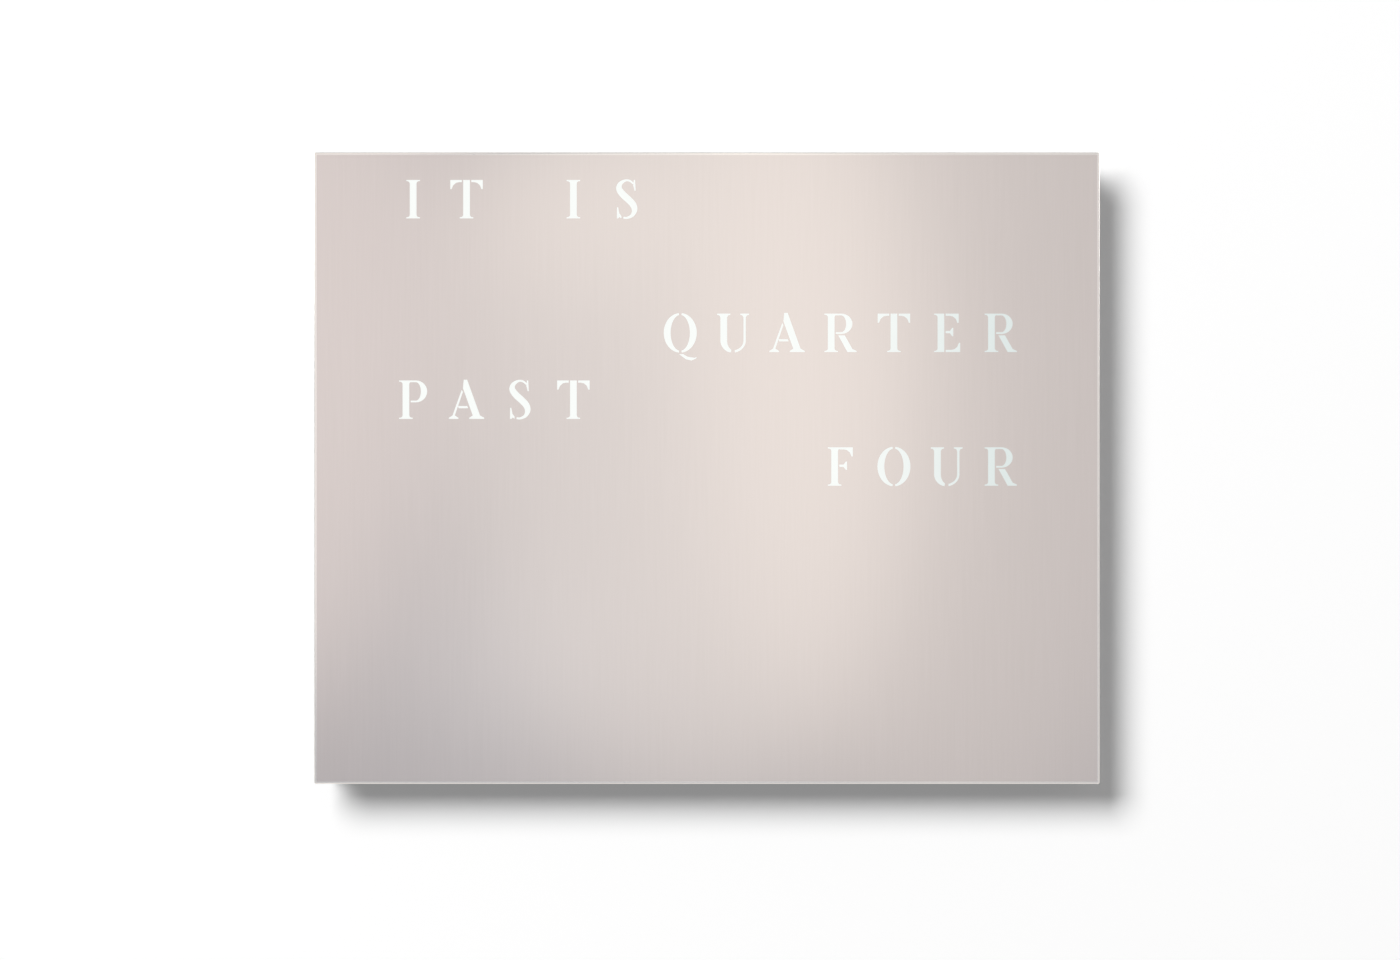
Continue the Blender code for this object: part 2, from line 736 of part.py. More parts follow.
def back_cover(wall, material):
    bm = bmesh.new()
    half_x, half_y = cover_width / 2, cover_height / 2
    box(bm, (-half_x, -half_y, 0), (half_x, half_y, COVER_THICKNESS))
    cover = piece("back_cover", bm, material, wall)
    pegs = bmesh.new()
    pin_top = board_front + PEG_PIN_PROUD
    for x, y in peg_places():
        profile = [
            (0, COVER_THICKNESS - JOIN_SINK), (PEG_RADIUS, COVER_THICKNESS - JOIN_SINK),
            (PEG_RADIUS, COVER_THICKNESS + PEG_HEIGHT), (PEG_PIN_RADIUS, COVER_THICKNESS + PEG_HEIGHT),
            (PEG_PIN_RADIUS, pin_top), (0, pin_top),
        ]
        add_turned(pegs, profile, (x, y, 0), PEG_SIDES)
    join(cover, pegs)
    holes = bmesh.new()
    countersunk_holes(holes, screw_places(fixing_x, fixing_y), COVER_THICKNESS)
    for side in (-1, 1):
        prism(holes, keyhole(side * bay_middle, KEYHOLE_HEIGHT), -OVERRUN, COVER_THICKNESS + OVERRUN)
    slot = rounded(VENT_WIDTH, VENT_LENGTH, VENT_WIDTH / 2, VENT_STEPS)
    for index in range(VENT_COUNT):
        x = (index - (VENT_COUNT - 1) / 2) * VENT_PITCH
        for side in (-1, 1):
            outline = [(x + px, side * VENT_HEIGHT + py) for px, py in slot]
            prism(holes, outline, -OVERRUN, COVER_THICKNESS + OVERRUN)
    cut(cover, holes)


def screws(wall, material):
    """Countersunk screws: four hold the back cover, four hold the light grid on its carrier."""
    profile = [
        (0, 0), (SCREW_HEAD_RADIUS, 0), (SCREW_HEAD_RADIUS, SCREW_RIM),
        (SCREW_RADIUS, SCREW_HEAD_DEPTH), (SCREW_RADIUS, SCREW_LENGTH - SCREW_TIP), (0, SCREW_LENGTH),
    ]
    bm = bmesh.new()
    turned(bm, profile, SMALL_SIDES)
    screw = piece("screw", bm, material, None, smooth=True)
    socket = bmesh.new()
    rod(socket, (0, 0, -OVERRUN), (0, 0, SCREW_SOCKET_DEPTH), SCREW_SOCKET_RADIUS, sides=HEX_SIDES)
    cut(screw, socket)
    mesh = settled(screw)
    for corner in CORNERS:
        place, turn = corner_place(corner, fixing_x, fixing_y, 0)
        placed(f"cover_screw_{corner}", mesh, wall, place, turn)
        place, turn = corner_place(corner, boss_x, boss_y, carrier_back)
        placed(f"grid_screw_{corner}", mesh, wall, place, turn)


# Electronics in the left bay

def board(name, length, pegs, material, wall, y):
    """A circuit board on the cover's pegs, with a hole for each peg's pin."""
    half = board_width / 2
    bm = bmesh.new()
    box(bm, (-half, -length / 2, 0), (half, length / 2, BOARD_THICKNESS))
    item = piece(name, bm, material, wall, (-bay_middle, y, board_back))
    holes = bmesh.new()
    for x, hole_y in peg_offsets(length, pegs):
        rod(
            holes, (x, hole_y, -OVERRUN), (x, hole_y, BOARD_THICKNESS + OVERRUN),
            PEG_PIN_RADIUS + SEAT_GAP, sides=PEG_SIDES,
        )
    cut(item, holes)
    return item


def controller_board(wall, material):
    """The board with the radio module, the supply parts and a plug for each lead."""
    item = board("controller_board", controller_length, CONTROLLER_PEGS, material, wall, controller_y)
    half, end = board_width / 2, controller_length / 2
    floor = BOARD_THICKNESS - JOIN_SINK
    radio_low = end - PEG_INSET - PEG_RADIUS - RADIO_LENGTH
    can_low = radio_low + (RADIO_LENGTH - CAN_LENGTH) / 4
    radio_top = BOARD_THICKNESS + RADIO_BOARD
    parts = bmesh.new()
    box(
        parts, (-RADIO_WIDTH / 2, radio_low, floor),
        (RADIO_WIDTH / 2, radio_low + RADIO_LENGTH, radio_top),
    )
    plug_top = BOARD_THICKNESS + PLUG_HEIGHT
    box(parts, (-PLUG_LENGTH / 2, -end, floor), (PLUG_LENGTH / 2, PLUG_DEPTH - end, plug_top))
    side_low = plug_offset() - PLUG_LENGTH / 2
    side_high = side_low + PLUG_LENGTH
    box(parts, (half - PLUG_DEPTH, side_low, floor), (half, side_high, plug_top))
    box(parts, (-half, side_low, floor), (PLUG_DEPTH - half, side_high, plug_top))
    low_row = PLUG_DEPTH - end + CAPACITOR_RADIUS + CAPACITOR_GAP
    left = -half / 2
    rod(parts, (left, low_row, floor), (left, low_row, BOARD_THICKNESS + CAPACITOR_HEIGHT), CAPACITOR_RADIUS)
    coil_x = half / 2
    box(
        parts, (coil_x - COIL_SIDE / 2, low_row - COIL_SIDE / 2, floor),
        (coil_x + COIL_SIDE / 2, low_row + COIL_SIDE / 2, BOARD_THICKNESS + COIL_HEIGHT),
    )
    run = PIN_COUNT * PIN_PITCH / 2
    box(parts, (-run, end - HEADER_HEIGHT, floor), (run, end, BOARD_THICKNESS + 2 * HEADER_HEIGHT))
    join(item, parts)
    can = bmesh.new()
    box(
        can, (-CAN_WIDTH / 2, can_low, radio_top - JOIN_SINK),
        (CAN_WIDTH / 2, can_low + CAN_LENGTH, BOARD_THICKNESS + CAN_HEIGHT),
    )
    join(item, can)


def plug_offset():
    """How far up from the controller board's middle its two side plugs sit."""
    radio_low = controller_length / 2 - PEG_INSET - PEG_RADIUS - RADIO_LENGTH
    return radio_low - CONTROLLER_GAP - PLUG_LENGTH / 2


def clock_module(wall, material):
    """The timekeeping board, its header towards the controller, with a cup for its cell."""
    item = board("clock_module", clock_length, CLOCK_PEGS, material, wall, clock_y)
    end = clock_length / 2
    floor = BOARD_THICKNESS - JOIN_SINK
    cup_floor = BOARD_THICKNESS + HOLDER_FLOOR
    cup_top = cup_floor + SEAT_GAP + CELL_THICKNESS
    parts = bmesh.new()
    profile = [
        (0, floor), (cup_radius, floor), (cup_radius, cup_top), (CELL_RADIUS + SEAT_GAP, cup_top),
        (CELL_RADIUS + SEAT_GAP, cup_floor), (0, cup_floor),
    ]
    add_turned(parts, profile, (0, cell_offset(), 0), ROUND_SIDES)
    run = PIN_COUNT * PIN_PITCH / 2
    header_low = HEADER_HEIGHT - end
    box(parts, (-run, -end, floor), (run, header_low, BOARD_THICKNESS + HEADER_HEIGHT))
    chip_y = -end + 2 * HEADER_HEIGHT + CHIP_WIDTH / 2
    chip_top = BOARD_THICKNESS + CHIP_HEIGHT
    box(
        parts, (-CHIP_LENGTH / 2, chip_y - CHIP_WIDTH / 2, floor),
        (CHIP_LENGTH / 2, chip_y + CHIP_WIDTH / 2, chip_top),
    )
    join(item, parts)
    pins = bmesh.new()
    height = BOARD_THICKNESS + HEADER_HEIGHT / 2
    reach = CLOCK_ROOM - SEAT_GAP
    for index in range(PIN_COUNT):
        x = (index - (PIN_COUNT - 1) / 2) * PIN_PITCH
        box(
            pins, (x - PIN_SIDE / 2, -end - reach, height - PIN_SIDE / 2),
            (x + PIN_SIDE / 2, -end + JOIN_SINK, height + PIN_SIDE / 2),
        )
    join(item, pins)


def cell_offset():
    """How far up from the clock module's middle its cell sits."""
    return clock_length / 2 - PEG_INSET - cup_radius


def coin_cell(wall, material):
    """The button cell, with its smaller negative face down in the cup."""
    depth = board_front + HOLDER_FLOOR + SEAT_GAP
    profile = [
        (0, 0), (CELL_RADIUS - CELL_STEP, 0), (CELL_RADIUS - CELL_STEP, CELL_STEP),
        (CELL_RADIUS, CELL_STEP), (CELL_RADIUS, CELL_THICKNESS), (0, CELL_THICKNESS),
    ]
    bm = bmesh.new()
    turned(bm, profile)
    piece("coin_cell", bm, material, wall, (-bay_middle, clock_y + cell_offset(), depth), smooth=True)


# Supply socket

def dc_socket(wall, material):
    """A panel socket with a centre pin. Its own z points down, out of the bottom rail."""
    top = SEAT_GAP + SOCKET_FLANGE
    tail = -RAIL_WALL - SOCKET_INSIDE
    bore_floor = top - SOCKET_BORE_DEPTH
    profile = [
        (0, tail), (SOCKET_RADIUS, tail), (SOCKET_RADIUS, SEAT_GAP), (SOCKET_FLANGE_RADIUS, SEAT_GAP),
        (SOCKET_FLANGE_RADIUS, top - SOCKET_CHAMFER), (SOCKET_FLANGE_RADIUS - SOCKET_CHAMFER, top),
        (SOCKET_BORE_RADIUS + SOCKET_CHAMFER, top), (SOCKET_BORE_RADIUS, top - SOCKET_CHAMFER),
        (SOCKET_BORE_RADIUS, bore_floor), (SOCKET_PIN_RADIUS, bore_floor),
        (SOCKET_PIN_RADIUS, top - SOCKET_PIN_SETBACK), (0, top - SOCKET_PIN_SETBACK),
    ]
    bm = bmesh.new()
    turned(bm, profile)
    place = (socket_x, -frame_height / 2, channel_middle)
    socket = piece("dc_socket", bm, material, wall, place, (math.pi / 2, 0, 0), smooth=True)
    tags = bmesh.new()
    for side in (-1, 1):
        x = side * SOCKET_TAG_OFFSET
        box(
            tags, (x - SOCKET_TAG_THICKNESS / 2, -SOCKET_TAG_WIDTH / 2, tail - SOCKET_TAG_LENGTH),
            (x + SOCKET_TAG_THICKNESS / 2, SOCKET_TAG_WIDTH / 2, tail + JOIN_SINK),
        )
    join(socket, tags)


def dc_socket_nut(wall, material):
    """The hexagon nut that clamps the socket from inside the rail."""
    near = -RAIL_WALL - SEAT_GAP
    across_corners = NUT_ACROSS / math.sqrt(3)
    bm = bmesh.new()
    rod(bm, (0, 0, near - NUT_THICKNESS), (0, 0, near), across_corners, sides=HEX_SIDES)
    place = (socket_x, -frame_height / 2, channel_middle)
    nut = piece("dc_socket_nut", bm, material, wall, place, (math.pi / 2, 0, 0))
    bore = bmesh.new()
    rod(
        bore, (0, 0, near - NUT_THICKNESS - OVERRUN), (0, 0, near + OVERRUN),
        SOCKET_RADIUS + SEAT_GAP, sides=ROUND_SIDES,
    )
    cut(nut, bore)


# Setting buttons. In their own frames z is the inset from the left rail's outer face.

def button_frame(wall):
    """An empty at the middle button: x out from the wall, y up, z into the clock."""
    turn = Matrix(((0, 0, 1), (0, 1, 0), (-1, 0, 0))).to_euler()
    return empty("button_frame", wall, (-frame_width / 2, holder_y, channel_middle), turn)


def button_offsets():
    return [place - holder_y for place in button_places]


def post_places():
    """The holder's posts, at the switch board's corners."""
    x, y = HOLDER_WIDTH / 2 - POST_INSET, holder_length / 2 - POST_INSET
    return [(side_x * x, side_y * y) for side_x, side_y, _ in CORNERS.values()]


def button_holder(buttons, material):
    """A moulded plate behind the rail that guides the caps; its posts carry the switch board."""
    bm = bmesh.new()
    prism(bm, rounded(HOLDER_WIDTH, holder_length, POST_INSET), holder_face, holder_inner)
    holder = piece("button_holder", bm, material, buttons)
    holes = bmesh.new()
    for y in button_offsets():
        rod(
            holes, (0, y, holder_face - OVERRUN), (0, y, holder_inner + OVERRUN),
            CAP_FLANGE_RADIUS + SLIDE_GAP, sides=ROUND_SIDES,
        )
    cut(holder, holes)
    posts = bmesh.new()
    shoulder = button_board_face - SEAT_GAP
    for x, y in post_places():
        profile = [
            (0, holder_inner - JOIN_SINK), (POST_RADIUS, holder_inner - JOIN_SINK),
            (POST_RADIUS, shoulder), (POST_PIN_RADIUS, shoulder),
            (POST_PIN_RADIUS, button_board_back + PEG_PIN_PROUD), (0, button_board_back + PEG_PIN_PROUD),
        ]
        add_turned(posts, profile, (x, y, 0), PEG_SIDES)
    join(holder, posts)


def button_board(buttons, material):
    """The switch board: a switch with a round well under each cap, and a plug for its lead."""
    bm = bmesh.new()
    box(
        bm, (-HOLDER_WIDTH / 2, -holder_length / 2, button_board_face),
        (HOLDER_WIDTH / 2, holder_length / 2, button_board_back),
    )
    item = piece("button_board", bm, material, buttons)
    holes = bmesh.new()
    for x, y in post_places():
        rod(
            holes, (x, y, button_board_face - OVERRUN), (x, y, button_board_back + OVERRUN),
            POST_PIN_RADIUS + SEAT_GAP, sides=PEG_SIDES,
        )
    cut(item, holes)
    half = SWITCH_SIDE / 2
    switches = bmesh.new()
    for y in button_offsets():
        box(switches, (-half, y - half, switch_top), (half, y + half, button_board_face + JOIN_SINK))
    box(
        switches, (-PLUG_LENGTH / 2, switch_plug_low, button_board_back - JOIN_SINK),
        (PLUG_LENGTH / 2, switch_plug_low + PLUG_DEPTH, button_board_back + PLUG_HEIGHT / 2),
    )
    join(item, switches)
    wells = bmesh.new()
    for y in button_offsets():
        rod(
            wells, (0, y, switch_top - OVERRUN), (0, y, switch_top + well_depth),
            CAP_STEM_RADIUS + SLIDE_GAP,
        )
    cut(item, wells)


def button_caps(buttons, material):
    """Turned caps that slide into the rail; each stem ends as its switch's plunger."""
    flange_top = holder_face + CAP_FLANGE
    profile = [
        (0, stem_tip), (CAP_STEM_RADIUS, stem_tip), (CAP_STEM_RADIUS, flange_top),
        (CAP_FLANGE_RADIUS, flange_top), (CAP_FLANGE_RADIUS, holder_face), (CAP_RADIUS, holder_face),
        (CAP_RADIUS, CAP_CROWN - CAP_PROUD), (CAP_RADIUS - CAP_CROWN, -CAP_PROUD),
        (CAP_RADIUS - 2 * CAP_CROWN, -CAP_PROUD), (0, CAP_DISH - CAP_PROUD),
    ]
    bm = bmesh.new()
    turned(bm, profile)
    mesh = settled(piece("button_cap", bm, material, None, smooth=True))
    for name, y in zip(BUTTONS, button_offsets()):
        placed(f"{name}_button_cap", mesh, buttons, (0, y, 0))


# Leads

def smooth_route(route, spacing):
    """Points about one spacing apart on a smooth curve through the route's own points."""
    points = [Vector(point) for point in route]
    padded = [2 * points[0] - points[1], *points, 2 * points[-1] - points[-2]]
    curve = [points[0]]
    for index in range(len(points) - 1):
        before, near, far, after = padded[index:index + 4]
        steps = max(1, round((far - near).length / spacing))
        for step in range(1, steps + 1):
            t = step / steps
            curve.append(0.5 * (
                2 * near + (far - before) * t + (2 * before - 5 * near + 4 * far - after) * t ** 2
                + (3 * near - before - 3 * far + after) * t ** 3
            ))
    return curve


def lead(name, route, radius, material, wall):
    """A round lead along its route, with closed ends."""
    points = smooth_route(route, radius * LEAD_SPACING)
    curve = bpy.data.curves.new(name, "CURVE")
    curve.dimensions = "3D"
    curve.bevel_depth = radius
    curve.bevel_resolution = LEAD_RESOLUTION
    curve.use_fill_caps = True
    spline = curve.splines.new("POLY")
    spline.points.add(len(points) - 1)
    for point, place in zip(spline.points, points):
        point.co = (*place, 1.0)
    curve.materials.append(material)
    placed(name, curve, wall)


def leads(wall, material):
    """The leads from the socket, to the first lamp strip, and from the switch board."""
    plug_middle = board_front + PLUG_HEIGHT / 2
    start = Vector((socket_x, socket_tail - frame_height / 2 + inner_height / 2 + SEAT_GAP, channel_middle))
    end = Vector((-bay_middle, controller_low - SEAT_GAP, plug_middle))
    straight = Vector((0, LEAD_STRAIGHT, 0))
    lead("feed_lead", [start, start + straight, end - straight, end], FEED_RADIUS, material, wall)

    plug_y = controller_y + plug_offset()
    half = board_width / 2
    top_row = (ROWS - 1) / 2 * ROW_PITCH
    gutter = -(grid_width / 2 + carrier_width / 2) / 2
    nudge = Vector((LEAD_STRAIGHT / 3, 0, 0))
    start = Vector((half - bay_middle + SEAT_GAP, plug_y, plug_middle))
    end = Vector((-strip_end - SEAT_GAP, top_row, strip_back + CLIP_HEIGHT / 2))
    lead("supply_lead", [
        start, start + nudge, Vector((gutter, plug_y + LEAD_STRAIGHT, plug_middle)),
        Vector((gutter, 0, channel_middle)), Vector((gutter, top_row - 4 * LEAD_STRAIGHT, channel_middle)),
        Vector((gutter - LEAD_STRAIGHT, top_row - LEAD_STRAIGHT, end.z + LEAD_STRAIGHT / 2)),
        end - Vector((LEAD_STRAIGHT, 0, 0)), end,
    ], SUPPLY_RADIUS, material, wall)

    start = Vector((-half - bay_middle - SEAT_GAP, plug_y, plug_middle))
    board_x = button_board_back + PLUG_HEIGHT / 4 - frame_width / 2
    end = Vector((board_x, holder_y + switch_plug_low - SEAT_GAP, channel_middle))
    side = start.x - LEAD_STRAIGHT / 2
    lead("button_lead", [
        start, start - nudge, Vector((side, plug_y + LEAD_STRAIGHT, plug_middle)),
        Vector((side, clock_y, channel_middle)),
        end - straight, end,
    ], BUTTON_LEAD_RADIUS, material, wall)


def build():
    clear_scene()
    brushed_metal = finish("brushed_metal", 0xD8CDC6, 0.35, 1.0)
    black_film = finish("black_film", 0x1B1B1D, 0.5)
    opal_sheet = finish("opal_sheet", 0xF1F2EE, 0.6)
    zinc_steel = finish("zinc_steel", 0xB9BBBD, 0.35, 1.0)
    anodised = finish("anodised_aluminium", 0xC9CACB, 0.4, 1.0)
    black_nylon = finish("black_nylon", 0x232427, 0.6)
    nickel = finish("nickel_plate", 0xC8C6C0, 0.2, 1.0)
    white_plastic = finish("white_plastic", 0xEDEDE8, 0.55)
    grey_board = finish("grey_board", 0x8D9094, 0.5)
    strip_white = finish("strip_white", 0xE9E8DE, 0.5)
    ribbon_grey = finish("ribbon_grey", 0x9A9DA1, 0.5)
    cover_black = finish("textured_cover", 0x2A2B2E, 0.65)
    black_steel = finish("black_steel", 0x303133, 0.4, 1.0)
    green_board = finish("green_board", 0x1E5A3C, 0.45)
    blue_board = finish("blue_board", 0x1F3F78, 0.45)
    black_moulding = finish("black_moulding", 0x1E1E20, 0.45)
    lead_sheath = finish("lead_sheath", 0x18181A, 0.5)

    wall = empty("wall_plane", rotation=(math.pi / 2, 0, 0))
    front = empty("front_slide", wall, (0, 0, panel_back))
    front_panel(front, brushed_metal)
    letter_mask(front, black_film)
    diffuser_sheet(front, opal_sheet)
    strikes(front, zinc_steel)

    frame_rails(wall, anodised)
    corner_blocks(wall, black_nylon)
    magnets(wall, nickel)
    light_grid(wall, white_plastic)
    led_carrier(wall, grey_board)
    led_strips(wall, strip_white)
    strip_jumpers(wall, ribbon_grey)
    back_cover(wall, cover_black)
    screws(wall, black_steel)

    controller_board(wall, green_board)
    clock_module(wall, blue_board)
    coin_cell(wall, zinc_steel)
    dc_socket(wall, black_moulding)
    dc_socket_nut(wall, nickel)
    buttons = button_frame(wall)
    button_holder(buttons, black_nylon)
    button_board(buttons, green_board)
    button_caps(buttons, anodised)
    leads(wall, lead_sheath)


build()
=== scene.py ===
"""Looks of the word clock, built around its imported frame. All lengths are in metres.

Pieces are laid out as the clock lies on a bench: x to the right, y up the wall and depth out
from the wall. The matrix ROOM stands them up, so that the room is at -Y and +Z is up.
"""

import math

import bpy
from mathutils import Matrix, Vector


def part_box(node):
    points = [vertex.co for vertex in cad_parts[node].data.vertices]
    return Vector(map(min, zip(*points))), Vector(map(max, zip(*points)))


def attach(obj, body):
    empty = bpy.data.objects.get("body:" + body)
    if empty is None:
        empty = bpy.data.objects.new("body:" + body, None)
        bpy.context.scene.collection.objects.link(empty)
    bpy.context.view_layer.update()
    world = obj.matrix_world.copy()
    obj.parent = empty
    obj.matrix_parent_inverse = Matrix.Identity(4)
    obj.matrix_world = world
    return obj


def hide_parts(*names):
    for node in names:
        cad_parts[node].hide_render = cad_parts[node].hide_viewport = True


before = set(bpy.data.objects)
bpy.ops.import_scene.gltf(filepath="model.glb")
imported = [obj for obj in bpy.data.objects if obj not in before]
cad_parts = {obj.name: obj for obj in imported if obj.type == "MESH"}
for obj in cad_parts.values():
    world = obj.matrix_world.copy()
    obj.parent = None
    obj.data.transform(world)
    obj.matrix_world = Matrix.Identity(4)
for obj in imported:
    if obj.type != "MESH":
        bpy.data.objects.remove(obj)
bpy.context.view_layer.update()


# Camera. The photograph looks at the clock straight on. The clock hangs a little above and to
# the right of the picture's middle, so the camera stands that much lower and further left.

PHOTO_WIDTH, PHOTO_HEIGHT = 1400, 960
PLATE_WIDTH_SEEN = 785.3
PLATE_MIDDLE_SEEN = (706.95, 468.1)
CAMERA_DISTANCE = 3.0
SENSOR_WIDTH = 36

panel_low, panel_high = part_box("front_panel")
panel_middle = (panel_low + panel_high) / 2
pixel = (panel_high.x - panel_low.x) / PLATE_WIDTH_SEEN
bpy.ops.object.camera_add(
    location=(
        panel_middle.x - (PLATE_MIDDLE_SEEN[0] - PHOTO_WIDTH / 2) * pixel,
        panel_low.y - CAMERA_DISTANCE,
        panel_middle.z + (PLATE_MIDDLE_SEEN[1] - PHOTO_HEIGHT / 2) * pixel,
    ),
    rotation=(math.pi / 2, 0, 0),
)
camera = bpy.context.object
camera.data.sensor_width = SENSOR_WIDTH
camera.data.lens = SENSOR_WIDTH * CAMERA_DISTANCE / (PHOTO_WIDTH * pixel)
bpy.context.scene.camera = camera
bpy.context.scene.view_settings.view_transform = "Standard"


# Wall and floor. The clock hangs on a plain white wall, over a pale floor. Both are seen from
# the front only, and the wall stops no light, so that the clock's back can be looked at too.

WALL_WIDTH, WALL_HEIGHT = 7.0, 4.0
WALL_GAP = 0.0008
FLOOR_LEVEL = -0.55
FLOOR_SIZE = 9.0
WALL_WHITE = 0xFEFEFE
FLOOR_WHITE = 0xF4F3F1
LIFT = 0.18


def linear(colour, share=1.0):
    """A share of an sRGB hex colour as linear light, with full alpha."""
    parts = [((colour >> shift) & 255) / 255 for shift in (16, 8, 0)]
    light = (p / 12.92 if p <= 0.04045 else ((p + 0.055) / 1.055) ** 2.4 for p in parts)
    return (*(share * part for part in light), 1.0)


def add_node(tree, kind, inputs=None, **settings):
    """Add a shader node with its settings, and for each input a value, a socket or a node."""
    node = tree.nodes.new(kind)
    for name, value in settings.items():
        setattr(node, name, value)
    for name, value in (inputs or {}).items():
        if isinstance(value, bpy.types.Node):
            value = value.outputs[0]
        if isinstance(value, bpy.types.NodeSocket):
            tree.links.new(value, node.inputs[name])
        else:
            node.inputs[name].default_value = value
    return node


def backdrop(name, colour):
    """Matt paint, clear from behind, and a little lighter to the camera than its light makes it."""
    material = bpy.data.materials.new(name)
    material.use_nodes = True
    tree = material.node_tree
    tree.nodes.clear()
    paint = add_node(tree, "ShaderNodeBsdfDiffuse", {"Color": linear(colour)})
    seen = add_node(tree, "ShaderNodeLightPath").outputs["Is Camera Ray"]
    share = add_node(tree, "ShaderNodeMath", {0: seen, 1: LIFT}, operation="MULTIPLY")
    lift = add_node(tree, "ShaderNodeEmission", {"Color": linear(colour), "Strength": share})
    lifted = add_node(tree, "ShaderNodeAddShader", {0: paint, 1: lift})
    behind = add_node(tree, "ShaderNodeNewGeometry").outputs["Backfacing"]
    clear = add_node(tree, "ShaderNodeBsdfTransparent")
    shown = add_node(tree, "ShaderNodeMixShader", {0: behind, 1: lifted, 2: clear})
    add_node(tree, "ShaderNodeOutputMaterial", {"Surface": shown})
    return material


bpy.ops.mesh.primitive_plane_add(
    size=1, location=(0, WALL_GAP, FLOOR_LEVEL + WALL_HEIGHT / 2), rotation=(math.pi / 2, 0, 0),
)
wall = bpy.context.object
wall.name = "wall"
wall.scale = (WALL_WIDTH, WALL_HEIGHT, 1)
wall.data.materials.append(backdrop("matt_wall_paint", WALL_WHITE))
wall.visible_shadow = wall.visible_transmission = False
bpy.ops.mesh.primitive_plane_add(size=FLOOR_SIZE, location=(0, 0, FLOOR_LEVEL))
floor = bpy.context.object
floor.name = "floor"
floor.data.materials.append(backdrop("pale_matt_floor", FLOOR_WHITE))
for item in (wall, floor):
    item.visible_diffuse = item.visible_glossy = False


# Light. One broad soft lamp high on the left throws the photograph's shadow, and stands off the
# wall parallel to it. Lamps seen only in gloss light the brushed face, and two more light the
# back. The world is a plain studio, which metal mirrors darker in front and on the upper left.

KEY_DISTANCE = 16.0
KEY_LEAN_X = (-1.32, -0.30)
KEY_LEAN_Z = (0.29, 1.36)
KEY_POWER = 9150
REAR_DISTANCE = 1.8
REAR_SIZE = 1.4
REAR_POWER = 26
AMBIENT = 0.15
MIRRORED_AROUND = 0xFCFCFC
MIRRORED_IN_FRONT, IN_FRONT = 0xBDC2CC, (-1.0, -0.7)
MIRRORED_ABOVE_LEFT, ABOVE_LEFT = 0xD2D3D2, (-0.6, -0.1)
TOWARDS_BELOW_RIGHT = (0.7, 0.0, -0.7)
GLOSS_LAMPS = {
    "middle": ((-0.013, -0.490, 0.076), (0.372, 0.705), 0.3015, 0xFFFDF4),
    "left": ((-0.393, -0.512, 0.141), (0.367, 0.719), 0.318, 0xFFF5ED),
    "right": ((0.208, -0.513, 0.164), (0.435, 0.974), 0.308, 0xFFF7E8),
    "above": ((-0.108, -0.406, 0.207), (0.173, 0.127), 0.0126, 0xFFF9EB),
    "below": ((-0.183, -0.660, -0.187), (0.140, 0.140), 0.0217, 0xEFF9FF),
}


def lamp(name, place, aim, size, power):
    """A soft oval lamp at a place, turned towards a point. No view shows the lamp itself."""
    bpy.ops.object.light_add(type="AREA", location=place)
    item = bpy.context.object
    item.name = name
    item.rotation_euler = (Vector(aim) - Vector(place)).to_track_quat("-Z", "Y").to_euler()
    item.data.shape = "ELLIPSE"
    item.data.size, item.data.size_y = size
    item.data.energy = power
    item.visible_camera = False
    return item


key_x, key_z = (sum(lean) / 2 * KEY_DISTANCE for lean in (KEY_LEAN_X, KEY_LEAN_Z))
key_size = [(lean[1] - lean[0]) * KEY_DISTANCE for lean in (KEY_LEAN_X, KEY_LEAN_Z)]
key = lamp("key_lamp", (key_x, -KEY_DISTANCE, key_z), (key_x, 0, key_z), key_size, KEY_POWER)
key.visible_glossy = False
for side, name in ((-1, "left"), (1, "right")):
    place = (side * REAR_DISTANCE, REAR_DISTANCE, REAR_DISTANCE / 2)
    lamp(f"rear_lamp_{name}", place, (0, 0, 0), (REAR_SIZE, REAR_SIZE), REAR_POWER)
for name, (place, size, power, colour) in GLOSS_LAMPS.items():
    item = lamp(f"gloss_lamp_{name}", place, (place[0], 0, place[2]), size, power)
    item.data.color = linear(colour)[:3]
    item.visible_diffuse = item.visible_transmission = False
    item.data.cycles.max_bounces = 0

world = bpy.data.worlds.new("studio")
bpy.context.scene.world = world
world.use_nodes = True
world.cycles.sampling_method = "NONE"
tree = world.node_tree
tree.nodes.clear()
ray = add_node(tree, "ShaderNodeLightPath")
direction = add_node(tree, "ShaderNodeTexCoord").outputs["Generated"]
outward = add_node(tree, "ShaderNodeSeparateXYZ", {0: direction}).outputs["Y"]
below_right = add_node(
    tree, "ShaderNodeVectorMath", {0: direction, 1: TOWARDS_BELOW_RIGHT}, operation="DOT_PRODUCT",
).outputs["Value"]
tone = linear(MIRRORED_AROUND)
for value, (low, high), nearer in (
    (below_right, ABOVE_LEFT, MIRRORED_ABOVE_LEFT), (outward, IN_FRONT, MIRRORED_IN_FRONT),
):
    share = add_node(tree, "ShaderNodeMapRange", {0: value, 1: low, 2: high})
    tone = add_node(
        tree, "ShaderNodeMix", {0: share, 6: linear(nearer), 7: tone}, data_type="RGBA",
    ).outputs[2]
mirrored = add_node(tree, "ShaderNodeBackground", {"Color": tone, "Strength": 1.0})
ambient = add_node(tree, "ShaderNodeBackground", {"Strength": AMBIENT})
seen = add_node(tree, "ShaderNodeBackground", {"Strength": 1.0})
bright = add_node(
    tree, "ShaderNodeMath",
    {0: ray.outputs["Is Glossy Ray"], 1: ray.outputs["Is Transmission Ray"]}, operation="MAXIMUM",
)
direct = add_node(
    tree, "ShaderNodeMath", {0: bright, 1: ray.outputs["Diffuse Depth"]},
    operation="GREATER_THAN",
)
lit = add_node(tree, "ShaderNodeMixShader", {0: direct, 1: ambient, 2: mirrored})
camera_ray = ray.outputs["Is Camera Ray"]
